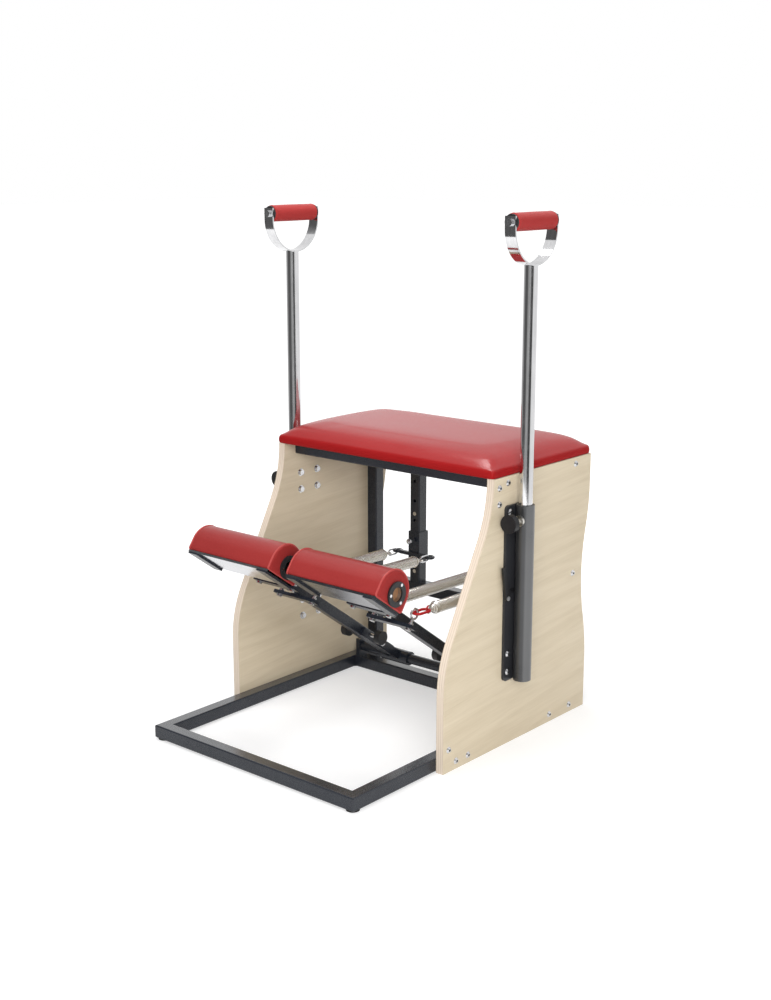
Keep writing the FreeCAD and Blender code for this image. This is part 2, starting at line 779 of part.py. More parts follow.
def build_levers():
    """Latch levers that press on the poles through slots in the sockets."""
    for side in SIDES:
        near = value(f"{PLATE_FACE} + 2 * soft_gap")
        thick = value("lever_thick")
        pivot_y, pivot_z = value(f"{FRONT} + lever_pivot_back"), value("lever_pivot_height")
        x = near if side == "right" else -near - thick
        corners = [Vector(x, pivot_y + y, pivot_z + z) for y, z in lever_outline()]
        face = Part.Face(Part.makePolygon(corners + corners[:1]))
        plate = face.extrude(Vector(thick, 0, 0))
        hole_radius = value("lever_pin_radius + running_gap")
        hole = Part.makeCylinder(hole_radius, thick, Vector(x, pivot_y, pivot_z), AXES["x"])
        lever = doc.addObject("Part::Feature", f"{side}_latch_lever")
        lever.Shape = plate.cut(hole)
        name_part(f"{side}_latch_lever", lever)


def build_knobs():
    """Clamp knobs in front of the sockets, each with a lock nut on its stem."""
    for side in SIDES:
        x = along_side(side, SOCKET_X)
        front = f"{POLE_Y} - knob_reach"
        head = rod("knob_radius", "knob_thick", x, front, KNOB_Z, "y")
        stem_length = "knob_reach - pole_radius - tip_gap"
        stem = rod("knob_stem_radius", stem_length, x, front, KNOB_Z, "y")
        nut_y = f"{POLE_Y} - socket_radius - soft_gap - lock_nut_thick"
        nut = rod("lock_nut_radius", "lock_nut_thick", x, nut_y, KNOB_Z, "y")
        name_part(f"{side}_clamp_knob", join(head, stem, nut))


def build_handles():
    """Hand loops on sliding poles, with turning grips on through bolts."""
    centre_z = f"{LOOP_FOOT} + bow_radius"
    leg = "(loop_depth - bow_radius + bow_leg_over)"
    inner = "(bow_radius - bow_strip)"
    for side in SIDES:
        x = along_side(side, SOCKET_X)
        low_x = f"{x} - bow_width / 2"
        outer_arc = half_round("bow_radius", low_x, centre_z)
        inner_arc = half_round(inner, low_x, centre_z)
        outer_legs = block("bow_width", "2 * bow_radius", leg, low_x, f"{POLE_Y} - bow_radius", centre_z)
        inner_legs = block("bow_width", f"2 * {inner}", leg, low_x, f"{POLE_Y} - {inner}", centre_z)
        bow = cut(join(outer_arc, outer_legs), join(inner_arc, inner_legs))
        pole_length = f"{LOOP_FOOT} + bow_strip - pole_foot_height"
        pole = rod("pole_radius", pole_length, x, POLE_Y, "pole_foot_height", "z")
        hollow_length = f"{pole_length} - 3 * bow_strip"
        hollow = rod("pole_radius - pole_wall", hollow_length, x, POLE_Y, "pole_foot_height", "z")
        bolt_start = f"{POLE_Y} - bow_radius"
        hole = rod("grip_bolt_radius", "2 * bow_radius", x, bolt_start, "grip_height", "y")
        name_part(f"{side}_handle", cut(join(bow, cut(pole, hollow)), hole))
        shank = rod("grip_bolt_radius", "2 * bow_radius", x, bolt_start, "grip_height", "y")
        front_nut = rod("acorn_radius", "acorn_height", x, f"{bolt_start} - acorn_height", "grip_height", "y")
        back_nut = rod("acorn_radius", "acorn_height", x, f"{POLE_Y} + bow_radius", "grip_height", "y")
        name_part(f"{side}_grip_bolt", join(shank, front_nut, back_nut))
        grip_start = f"{POLE_Y} - grip_length / 2"
        roll = rod("grip_radius", "grip_length", x, grip_start, "grip_height", "y")
        bore = rod("grip_bolt_radius + running_gap", "grip_length", x, grip_start, "grip_height", "y")
        name_part(f"{side}_grip", cut(roll, bore))


def half_round(radius, x, z):
    """The lower half of a disc, as wide as the bow's strip."""
    disc = bind(doc.addObject("Part::Cylinder", "half_round"), Radius=radius, Height="bow_width")
    disc.Angle = 180
    # The disc's half is turned so that its flat side faces up and its axis runs across the chair.
    turn = Rotation(Vector(0, 1, 0), 90).multiply(Rotation(Vector(0, 0, 1), -90))
    return put(disc, x, POLE_Y, z, turn)


def build_hinge():
    """The cross shaft that both pedal arms turn on, and the brackets that hold it."""
    end = f"({HALF} - tube_side - side_gap)"
    shaft = rod("shaft_radius", f"2 * {end}", f"-{end}", HINGE_Y, "shaft_height", "x")
    name_part("hinge_shaft", shaft)
    brackets = []
    foot = "(pad_height + tube_side)"
    for side in SIDES:
        plate = block(
            "bracket_thick",
            "tube_side",
            f"shaft_height + bracket_over - {foot}",
            from_side(side, f"{end} - bracket_thick", "bracket_thick"),
            f"{HINGE_Y} - tube_side / 2",
            foot,
        )
        hole_radius = "shaft_radius + running_gap"
        hole = rod(hole_radius, f"2 * {end}", f"-{end}", HINGE_Y, "shaft_height", "x")
        brackets.append(cut(plate, hole))
    name_part("hinge_brackets", group(*brackets))


def cross_rod(radius, half_length, middle, reach, rise):
    """A rod across an arm, centred on it, at a reach along the arm and a rise above its axis."""
    return rod(radius, f"2 * ({half_length})", f"{middle} - ({half_length})", f"-({reach})", rise, "x")


def build_arms():
    """Pedal arms: hinge sleeve with two cheek plates, and the square tube bolted between them."""
    for side in SIDES:
        middle = along_side(side, LANE_X)
        arm_length = "arm_reach - arm_start"
        corner = (f"{middle} - arm_side / 2", "-arm_reach", "-arm_side / 2")
        tube = square_tube(arm_length, "y", *corner, width="arm_side")
        cope = cross_rod("pedal_tube_radius", "arm_side", middle, "arm_reach", "0")
        bolts = [
            cross_rod("arm_bolt_radius + hole_gap", "arm_side", middle, reach, "0")
            for reach in ("arm_knob_reach", "cheek_bolt_reach")
        ]
        tilt(f"{side}_arm", cut(tube, cope, *bolts))
        sleeve = cross_rod("shaft_radius + sleeve_wall", "sleeve_length / 2", middle, "0", "0")
        cheeks = []
        for way in (-1, 1):
            low_x = f"{middle} + {way} * (arm_side / 2 + cheek_thick / 2) - cheek_thick / 2"
            height = "cheek_up + cheek_down"
            cheeks.append(block("cheek_thick", "cheek_length", height, low_x, "-cheek_length", "-cheek_down"))
        bore = cross_rod("shaft_radius + running_gap", "sleeve_length / 2", middle, "0", "0")
        tilt(f"{side}_arm_foot", cut(join(sleeve, *cheeks), bore, *bolts))
        knobs = []
        for way in (-1, 1):
            low_x = f"{middle} + {way} * (arm_knob_out + arm_knob_thick / 2) - arm_knob_thick / 2"
            knobs.append(rod("arm_knob_radius", "arm_knob_thick", low_x, "-arm_knob_reach", "0", "x"))
        tilt(f"{side}_arm_knobs", group(*knobs))


def build_pedal_bars():
    """Spring bars under the arms and the flat straps under the pedal boards."""
    for side in SIDES:
        middle = along_side(side, LANE_X)
        bars = []
        half = "(spring_spread + bar_over)"
        for reach in ("near_bar_reach", "far_bar_reach"):
            bar = block(
                f"2 * {half}",
                "bar_width",
                "bar_thick",
                f"{middle} - {half}",
                f"-{reach} - bar_width / 2",
                "-arm_side / 2 - bar_thick",
            )
            holes = [
                rod("bolt_radius + hole_gap", "bar_thick", f"{middle} + {way} * spring_spread", f"-{reach}",
                    "-arm_side / 2 - bar_thick", "z")
                for way in (-1, 1)
            ]
            bars.append(cut(bar, *holes))
        centre = along_side(side, PEDAL_X)
        for way in (-1, 1):
            offset = f"({PEDAL_LENGTH} / 2 - flange_thick - strap_inset - strap_width / 2)"
            bars.append(block(
                "strap_width",
                "pedal_depth + strap_over",
                "strap_thick",
                f"{centre} + {way} * {offset} - strap_width / 2",
                "-arm_reach - pedal_ahead - pedal_depth / 2",
                "-pedal_drop - pedal_board_thick - strap_thick",
            ))
        tilt(f"{side}_pedal_bars", group(*bars))


def eye_bolt(x, reach):
    """An eye bolt that stands on a spring bar and takes a snap hook."""
    under = "-arm_side / 2 - bar_thick"
    shank_length = "eye_rise - eye_radius + arm_side / 2 + bar_thick + nut_height"
    shank = rod("bolt_radius", shank_length, x, f"-{reach}", f"{under} - nut_height", "z")
    nut = rod("nut_radius", "nut_height", x, f"-{reach}", f"{under} - nut_height", "z")
    collar = rod("nut_radius", "nut_height", x, f"-{reach}", "-arm_side / 2", "z")
    return join(shank, nut, collar, ring("eye_radius", "eye_wire", x, f"-{reach}", "eye_rise", "x"))


def plain_bolt(x, reach):
    """A hex bolt through the end of the far spring bar."""
    under = "-arm_side / 2 - bar_thick"
    shank = rod("bolt_radius", "bar_thick + 2 * nut_height", x, f"-{reach}", f"{under} - nut_height", "z")
    nut = rod("nut_radius", "nut_height", x, f"-{reach}", f"{under} - nut_height", "z")
    head = rod("nut_radius", "nut_height", x, f"-{reach}", "-arm_side / 2", "z")
    return join(shank, nut, head)


def build_pedal_bolts():
    """Eye bolts, bar bolts, arm cross bolts and flange screws of each pedal."""
    for side in SIDES:
        middle = along_side(side, LANE_X)
        bolts = []
        for way in (-1, 1):
            x = f"{middle} + {way} * spring_spread"
            bolts.append(eye_bolt(x, "near_bar_reach"))
            bolts.append(plain_bolt(x, "far_bar_reach"))
        bolts.append(cross_rod("arm_bolt_radius", "arm_knob_out", middle, "arm_knob_reach", "0"))
        half = "(arm_side / 2 + cheek_thick)"
        pin = cross_rod("arm_bolt_radius", f"{half} + nut_height", middle, "cheek_bolt_reach", "0")
        heads = []
        for way in (-1, 1):
            low_x = f"{middle} + {way} * ({half} + nut_height / 2) - nut_height / 2"
            heads.append(rod("nut_radius * 1.3", "nut_height", low_x, "-cheek_bolt_reach", "0", "x"))
        bolts.append(join(pin, *heads))
        bolts += flange_screws(side)
        tilt(f"{side}_pedal_bolts", group(*bolts))


def flange_screw_rods(side, radius, end_gap, length):
    """Rods at the screw places of both end flanges of a pedal."""
    rods = []
    centre = along_side(side, PEDAL_X)
    for way in (-1, 1):
        for turn in (90, 210, 330):
            face = f"({PEDAL_LENGTH} / 2 + {end_gap} - ({length}) / 2)"
            low_x = f"{centre} + {way} * {face} - ({length}) / 2"
            y = f"-arm_reach + flange_screw_circle * cos({turn})"
            rods.append(rod(radius, length, low_x, y, f"flange_screw_circle * sin({turn})", "x"))
    return rods


def flange_screws(side):
    """Small screws that hold the end flanges."""
    shanks = flange_screw_rods(side, "flange_screw_radius", "0", "flange_thick")
    heads = flange_screw_rods(side, "flange_screw_head", "flange_screw_cap", "flange_screw_cap")
    return [join(shank, head) for shank, head in zip(shanks, heads)]


def pedal_section(x, scale):
    """One slice through a pedal cushion: flat foot, leaning sides and a round crown."""
    half = value("pedal_depth") / 2 * scale
    centre = -value("arm_reach") - value("pedal_ahead")
    foot = -value("pedal_drop")
    crown = value("pedal_crown") * scale
    waist = crown * 0.3
    soft = half * 0.07

    def point(along, rise):
        return Vector(x, centre + along, rise)

    front_foot, back_foot = point(-half + soft, foot), point(half - soft, foot)
    front_low, back_low = point(-half, foot + soft), point(half, foot + soft)
    front_waist, back_waist = point(-half * 0.96, waist), point(half * 0.96, waist)
    front_brow, back_brow = point(-half * 0.5, crown * 0.9), point(half * 0.5, crown * 0.9)
    edges = [
        Part.LineSegment(front_foot, back_foot),
        Part.Arc(back_foot, point(half - soft * 0.29, foot + soft * 0.29), back_low),
        Part.Arc(back_low, point(half * 1.015, (foot + waist) / 2), back_waist),
        Part.Arc(back_waist, point(half * 0.82, crown * 0.66), back_brow),
        Part.Arc(back_brow, point(0, crown), front_brow),
        Part.Arc(front_brow, point(-half * 0.82, crown * 0.66), front_waist),
        Part.Arc(front_waist, point(-half * 1.015, (foot + waist) / 2), front_low),
        Part.Arc(front_low, point(-half + soft * 0.29, foot + soft * 0.29), front_foot),
    ]
    return Part.Wire([edge.toShape() for edge in edges])


def build_pedals():
    """Padded pedals round a steel tube, on a pale board, with flanges at their ends."""
    for side in SIDES:
        centre = along_side(side, PEDAL_X)
        half = f"({PEDAL_LENGTH} / 2 - flange_thick)"
        tube = cross_rod("pedal_tube_radius", half, centre, "arm_reach", "0")
        bore = cross_rod("dowel_radius + dowel_gap", half, centre, "arm_reach", "0")
        tilt(f"{side}_pedal_tube", cut(tube, bore))
        tilt(f"{side}_pedal_board", block(
            f"2 * {half} - pedal_board_inset",
            "pedal_depth - pedal_board_inset",
            "pedal_board_thick",
            f"{centre} - {half} + pedal_board_inset / 2",
            "-arm_reach - pedal_ahead - pedal_depth / 2 + pedal_board_inset / 2",
            "-pedal_drop - pedal_board_thick",
        ))
        cushion = doc.addObject("Part::Feature", f"{side}_cushion_shape")
        cushion.Shape = pedal_cushion_shape(side)
        tilt(f"{side}_pedal_cushion", cushion)
        flanges = []
        for way in (-1, 1):
            low_x = f"{centre} + {way} * ({PEDAL_LENGTH} / 2 - flange_thick / 2) - flange_thick / 2"
            disc = rod("flange_radius", "flange_thick", low_x, "-arm_reach", "0", "x")
            hole = rod("dowel_radius + 2 * dowel_gap", "flange_thick", low_x, "-arm_reach", "0", "x")
            flanges.append((disc, hole))
        screw_holes = flange_screw_rods(side, "flange_screw_radius + hole_gap / 2", "0", "flange_thick")
        rings = [cut(disc, hole, *screw_holes) for disc, hole in flanges]
        tilt(f"{side}_pedal_flanges", group(*rings))
    outer = f"(pedal_gap / 2 + {PEDAL_LENGTH} - dowel_sunk)"
    dowel = rod("dowel_radius", "dowel_length", f"{outer} - dowel_length", "-arm_reach", "0", "x")
    tilt("pedal_dowel", dowel)


def pedal_cushion_shape(side):
    """A padded D section, slightly fuller in the middle, with a bore and a notch for the arm."""
    centre = value(along_side(side, PEDAL_X))
    half = value(f"{PEDAL_LENGTH} / 2 - flange_thick")
    swell = [(-1, 0.955), (-0.9, 0.985), (-0.5, 1.0), (0.5, 1.0), (0.9, 0.985), (1, 0.955)]
    slices = [pedal_section(centre + share * half, scale) for share, scale in swell]
    shape = Part.makeLoft(slices, True, False)
    gap, side_length = value("soft_gap"), value("arm_side")
    reach, middle = value("arm_reach"), value(along_side(side, LANE_X))
    start = Vector(centre - half, -reach, 0)
    bore = Part.makeCylinder(value("pedal_tube_radius") + gap, 2 * half, start, AXES["x"])
    corner = Vector(middle - side_length / 2 - gap, -reach, -side_length / 2 - gap)
    notch = Part.makeBox(side_length + 2 * gap, value("pedal_depth"), side_length + 2 * gap, corner)
    return shape.cut(bore.fuse(notch))


def build_carriages():
    """Spring carriages that slide on the rear posts, each with two hook rings and a pull pin."""
    for side in SIDES:
        x = along_side(side, LANE_X)
        inner = "(tube_side / 2 + carriage_gap)"
        outer = f"({inner} + carriage_wall)"
        shell, hole = [
            block(
                f"2 * {half}",
                f"2 * {half}",
                "carriage_length",
                f"{x} - {half}",
                f"{POST_MID} - {half}",
                "carriage_height",
            )
            for half in (outer, inner)
        ]
        face_y = f"({POST_MID} - {outer})"
        plate = block(
            "2 * hook_plate_half",
            "hook_plate_thick",
            "hook_plate_height",
            f"{x} - hook_plate_half",
            f"{face_y} - hook_plate_thick + weld_lap",
            "hook_height - hook_plate_height / 2",
        )
        ring_y = f"{HOOK_Y} + hook_ring"
        rings = [
            ring("hook_ring", "hook_wire", f"{x} + {way} * spring_spread", ring_y, "hook_height", "z")
            for way in (-1, 1)
        ]
        collar_y = f"{face_y} - pin_collar_length"
        collar_length = "pin_collar_length + weld_lap"
        collar = rod("pin_collar_radius", collar_length, x, collar_y, "pin_height", "y")
        guide_length = f"{collar_length} + carriage_wall"
        guide = rod("pin_radius + running_gap", guide_length, x, collar_y, "pin_height", "y")
        body = cut(join(shell, plate, collar, *rings), hole, guide)
        name_part(f"{side}_carriage", body)
        pin_end = f"({POST_Y} - pin_parked)"
        pin = rod("pin_radius", "pin_length", x, f"{pin_end} - pin_length", "pin_height", "y")
        ball = bind(doc.addObject("Part::Sphere", "ball"), Radius="pin_ball")
        put(ball, x, f"{pin_end} - pin_length - pin_ball * 0.7", "pin_height")
        name_part(f"{side}_pull_pin", join(pin, ball))


def biarc(start, start_way, end, end_way):
    """Two tangent arcs from one point and direction to another, as edges."""
    chord = end - start
    both = start_way + end_way
    square = 2 * (start_way.dot(end_way) - 1)
    slope = -2 * chord.dot(both)
    constant = chord.dot(chord)
    if abs(square) < 1e-9:
        reach = -constant / slope
    else:
        reach = (-slope - math.sqrt(slope ** 2 - 4 * square * constant)) / (2 * square)
    middle = (start + end + (start_way - end_way) * reach) * 0.5
    return [arc_from(start, start_way, middle), arc_from(end, end_way * -1, middle, True)]


def arc_from(start, way, end, backwards=False):
    """The arc that leaves a point in a direction and passes through a second point."""
    chord = end - start
    along = chord * (1 / chord.Length)
    aside = way - along * way.dot(along)
    aside = aside * (1 / aside.Length)
    half_turn = math.acos(max(-1.0, min(1.0, way.dot(along))))
    middle = (start + end) * 0.5 + aside * (chord.Length / 2 * math.tan(half_turn / 2))
    if backwards:
        return Part.Arc(end, middle, start).toShape()
    return Part.Arc(start, middle, end).toShape()


def coil_tube(length):
    """One spring: a wire that leaves the rear plug square, winds and ends square at the front plug."""
    wire = value("spring_wire")
    mean = value("spring_radius") - wire
    lead = value("spring_lead")
    curls = int(value("spring_curls"))
    pitch = length / curls
    for _ in range(20):
        bend = math.pi / 2 - math.atan(pitch / (2 * math.pi * mean))
        pitch = (length - 4 * wire - 2 * lead * math.sin(bend)) / curls
    first = 2 * wire + lead * math.sin(bend)

    def on_helix(half_turns):
        turn = math.pi * half_turns
        place = Vector(mean * math.cos(turn), -first - pitch * half_turns / 2, mean * math.sin(turn))
        way = Vector(-mean * math.sin(turn), -pitch / (2 * math.pi), mean * math.cos(turn))
        return place, way.normalize()

    sink = lead * (1 - math.cos(bend))
    entry = Vector(mean, -2 * wire, -sink)
    leave = Vector(mean, -length + 2 * wire, sink)
    forward = Vector(0, -1, 0)
    start, start_way = on_helix(0)
    edges = [Part.LineSegment(Vector(mean, 0, -sink), entry).toShape(), arc_from(entry, forward, start)]
    for step in range(2 * curls):
        edges += biarc(*on_helix(step), *on_helix(step + 1))
    last, last_way = on_helix(2 * curls)
    edges.append(arc_from(last, last_way, leave))
    edges.append(Part.LineSegment(leave, Vector(mean, -length, sink)).toShape())
    path = Part.Wire(edges)
    profile = Part.Wire(Part.makeCircle(wire, Vector(mean, 0, -sink), forward))
    solid = path.makePipeShell([profile], True, False)
    samples = [on_helix(step / 12)[0] for step in range(0, 24 * curls + 1)]
    apart = min(
        (samples[later] - samples[early]).Length
        for early in range(0, len(samples), 24)
        for later in range(early + 12, min(early + 37, len(samples)))
    )
    print(f"spring: least gap between curls {apart - 2 * wire:.2f} mm")
    print(f"spring: volume over wire volume {solid.Volume / (math.pi * wire ** 2 * path.Length):.4f}")
    return solid


def stadium(length, half, wire, flat):
    """A closed wire loop of two straights and two half rounds, along -Y from its rear bend's centre."""
    side = AXES["x"] if flat else AXES["z"]
    front = Vector(0, -length, 0)
    edges = [
        Part.LineSegment(side * half, side * half + front),
        Part.Arc(side * half + front, front + Vector(0, -half, 0), side * -half + front),
        Part.LineSegment(side * -half + front, side * -half),
        Part.Arc(side * -half, Vector(0, half, 0), side * half),
    ]
    path = Part.Wire([edge.toShape() for edge in edges])
    profile = Part.Wire(Part.makeCircle(wire, side * half, Vector(0, -1, 0)))
    return path.makePipeShell([profile], True, False)


def spring_line():
    """Rear hook point, length and rise of the line from a carriage hook to an arm's eye."""
    hook = Vector(0, value(HOOK_Y), value("hook_height"))
    slope = math.radians(value("arm_tilt"))
    reach, rise = value("near_bar_reach"), value("eye_rise")
    eye_y = value(HINGE_Y) - reach * math.cos(slope) + rise * math.sin(slope)
    eye_z = value("shaft_height") + reach * math.sin(slope) + rise * math.cos(slope)
    return hook, math.hypot(eye_y - hook.y, eye_z - hook.z), math.atan2(eye_z - hook.z, hook.y - eye_y)


def on_spring_line(label, side, shapes):
    """Place copies of shapes, built along -Y from a hook, on both spring lines of a side."""
    hook, _, rise = spring_line()
    solids = []
    for way in (-1, 1):
        x = value(f"{along_side(side, LANE_X)} + {way} * spring_spread")
        place = Placement(Vector(x, hook.y, hook.z), Rotation(AXES["x"], -math.degrees(rise)))
        for shape in shapes:
            copy = shape.copy()
            copy.Placement = place.multiply(shape.Placement)
            solids.append(copy)
    feature = doc.addObject("Part::Feature", label)
    feature.Shape = Part.makeCompound(solids)
    name_part(label, feature)


def build_springs():
    """Links, springs with their end plugs, and the snap hooks that catch the arms' eyes."""
    _, length, _ = spring_line()
    # The snap hook's wire lies a little behind the middle of the eye.
    length -= value("snap_setback")
    ring_radius, ring_wire = value("spring_ring"), value("spring_ring_wire")
    link_back = value("hook_wire + soft_gap + link_wire - link_half")
    link = stadium(link_back + value("link_ahead"), value("link_half"), value("link_wire"), False)
    link.Placement = Placement(Vector(0, link_back, 0), Rotation())
    link_front = value("link_ahead + link_half")
    catch = ring_radius - ring_wire - value("link_wire + soft_gap")
    rear_ring_y = -link_front - catch
    rear_cone_y = rear_ring_y - ring_radius
    tip, face, run = value("cone_tip"), value("cone_face"), value("cone_length")
    back_ring = Part.makeTorus(ring_radius, ring_wire, Vector(0, rear_ring_y, 0), AXES["z"])
    back_cone = Part.makeCone(tip, face, run, Vector(0, rear_cone_y + ring_wire / 2, 0), Vector(0, -1, 0))
    coil_start = rear_cone_y + ring_wire / 2 - run
    snap_rear = -length + value("snap_length")
    front_ring_y = snap_rear + ring_radius - ring_wire - value("snap_wire") - value("soft_gap")
    front_cone_y = front_ring_y + ring_radius - ring_wire / 2
    front_ring = Part.makeTorus(ring_radius, ring_wire, Vector(0, front_ring_y, 0), AXES["x"])
    front_cone = Part.makeCone(tip, face, run, Vector(0, front_cone_y, 0), Vector(0, 1, 0))
    coil = coil_tube(coil_start - front_cone_y - run)
    coil.Placement = Placement(Vector(0, coil_start, 0), Rotation())
    half = value("snap_half")
    snap = stadium(value("snap_length") - 2 * half, half, value("snap_wire"), True)
    snap.Placement = Placement(Vector(0, snap_rear - half, 0), Rotation())
    for side in SIDES:
        on_spring_line(f"{side}_links", side, [link])
        on_spring_line(f"{side}_spring_plugs", side, [back_ring.fuse(back_cone)])
        on_spring_line(f"{side}_springs", side, [coil])
        on_spring_line(f"{side}_snap_hooks", side, [front_ring.fuse(front_cone), snap])


def check_and_write():
    """Stop on any failed object, then write each sub-part's solids."""
    doc.recompute()
    for thing in doc.Objects:
        if "Invalid" in thing.State or "Error" in thing.State:
            raise RuntimeError(f"{thing.Label} failed: {thing.State}")
    for label, thing in nodes.items():
        shape = thing.Shape
        if shape.isNull() or not shape.isValid() or not shape.Solids:
            raise RuntimeError(f"{label} has no valid solid")
    os.makedirs("parts", exist_ok=True)
    for label, thing in nodes.items():
        thing.Shape.exportStep(f"parts/{label}.step")
    print(len(nodes), "sub-parts,", sum(len(thing.Shape.Solids) for thing in nodes.values()), "solids")


build_panels()
build_frame()
build_fasteners()
build_seat()
build_sockets()
build_levers()
build_knobs()
build_handles()
build_hinge()
build_arms()
build_pedal_bars()
build_pedal_bolts()
build_pedals()
build_carriages()
build_springs()
check_and_write()
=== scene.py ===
# %% [markdown]
# # A pilates chair with two separate pedals
#
# The chair has plywood sides, a coated steel base, a red padded seat, two red pedals on long arms, four
# springs and two chromed hand loops. A CAD model holds every hard piece and every joint. This lesson loads
# that model, gives each finish its grain and shine, and makes the padded and wound pieces that a CAD solid
# only outlines.

import json
import math

import bmesh
import bpy
import numpy as np
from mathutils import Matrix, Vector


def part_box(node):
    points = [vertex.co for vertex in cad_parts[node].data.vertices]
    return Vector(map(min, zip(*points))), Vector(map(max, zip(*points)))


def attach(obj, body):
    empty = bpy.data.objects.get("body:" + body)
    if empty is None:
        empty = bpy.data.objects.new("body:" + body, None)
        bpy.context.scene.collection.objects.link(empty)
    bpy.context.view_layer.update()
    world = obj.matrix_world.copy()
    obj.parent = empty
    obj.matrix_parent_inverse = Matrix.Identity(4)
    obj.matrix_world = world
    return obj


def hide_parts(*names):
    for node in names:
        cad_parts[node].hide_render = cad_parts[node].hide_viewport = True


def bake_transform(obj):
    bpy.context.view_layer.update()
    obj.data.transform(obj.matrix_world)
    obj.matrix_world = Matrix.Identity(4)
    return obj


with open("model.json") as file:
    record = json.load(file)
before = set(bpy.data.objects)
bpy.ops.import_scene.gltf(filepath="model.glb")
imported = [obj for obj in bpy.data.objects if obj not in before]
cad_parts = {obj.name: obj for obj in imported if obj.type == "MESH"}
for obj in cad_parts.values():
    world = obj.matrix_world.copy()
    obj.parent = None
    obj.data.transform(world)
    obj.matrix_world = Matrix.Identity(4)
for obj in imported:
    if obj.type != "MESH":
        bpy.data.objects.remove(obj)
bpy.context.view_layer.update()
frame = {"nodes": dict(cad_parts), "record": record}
SIDES = ("left", "right")

# %% [markdown]
# ## The camera
#
# The view is a little above the seat and in front of the right corner. A camera could be aimed with a
# constraint, but the place and the three directions below were solved from the corners of the real chair, so
# we write them straight into the camera's matrix. The lens is measured against the picture's height.

# %% Aim the camera
view_across = np.array([0.7606, 0.6492, 0.0])
view_up = np.array([-0.1498, 0.1755, 0.9730])
view_ahead = np.array([-0.6317, 0.7401, -0.2307])
camera_place = np.array([2.1028, -2.4167, 1.2879])

lens = bpy.data.cameras.new("camera")
lens.sensor_fit = "VERTICAL"
lens.sensor_height = 36.0
lens.lens = 52.5546
lens.clip_end = 100.0
camera = bpy.data.objects.new("camera", lens)
bpy.context.scene.collection.objects.link(camera)
aim = np.eye(4)
aim[:3, :4] = np.stack([view_across, view_up, -view_ahead, camera_place], axis=1)
camera.matrix_world = aim.T
bpy.context.scene.camera = camera
bpy.context.scene.view_settings.view_transform = "Standard"
print("camera at", camera.location[:])

# %% [markdown]
# ## Sums on shader values
#
# A finish is a network of nodes, and most of its arithmetic is plain sums: a mask times a strength, one minus
# a mask. Placing Math nodes by hand hides the formula. This small class wraps one socket, so that a sum
# written in Python adds the Math nodes for it. Every other node comes from its one method `node`, which sets
# the node's own options first and then fills its sockets with numbers or links.

# %% A shader value
class Value:
    """One output of a shader network. Sums on it add Math nodes, and node() adds any other node."""

    def __init__(self, tree, socket=None):
        self.tree = tree
        self.socket = socket

    def node(self, kind, settings, fill, out=0):
        """A new node: options first, then a number, colour or link for each socket that is named."""
        made = self.tree.nodes.new("ShaderNode" + kind)
        for option, setting in settings.items():
            if option == "stops":
                ramp = made.color_ramp
                for place, colour in setting[len(ramp.elements):]:
                    ramp.elements.new(place)
                for element, (place, colour) in zip(ramp.elements, setting):
                    element.position = place
                    element.color = (*colour, 1.0)
            else:
                setattr(made, option, setting)
        for place, term in fill.items():
            if isinstance(term, Value):
                self.tree.links.new(term.socket, made.inputs[place])
            else:
                made.inputs[place].default_value = term
        return Value(self.tree, made.outputs[out])

    def math(self, operation, *terms):
        """A Math node on one, two or three values."""
        return self.node("Math", {"operation": operation}, dict(enumerate(terms)))

    def __add__(self, other):
        return self.math("ADD", self, other)

    __radd__ = __add__

    def __sub__(self, other):
        return self.math("SUBTRACT", self, other)

    def __rsub__(self, other):
        return self.math("SUBTRACT", other, self)

    def __mul__(self, other):
        return self.math("MULTIPLY", self, other)

    __rmul__ = __mul__

    def __abs__(self):
        return self.math("ABSOLUTE", self)

    def rise(self, low, high):
        """Zero below low, one above high, and a smooth ramp between."""
        return self.node("MapRange", {"interpolation_type": "SMOOTHSTEP"}, {0: self, 1: low, 2: high})

    def grey(self):
        """The same value in all three channels of a colour or a vector."""
        return self.node("CombineXYZ", {}, {0: self, 1: self, 2: self})


print("shader sums ready")

# %% [markdown]
# A finish always starts the same way: a new material, its Principled shader, and the place on the piece in
# metres. Object coordinates are right for that, because every piece sits at the origin with its place in its
# mesh. Numbers that are the same all over go straight onto the shader's sockets.

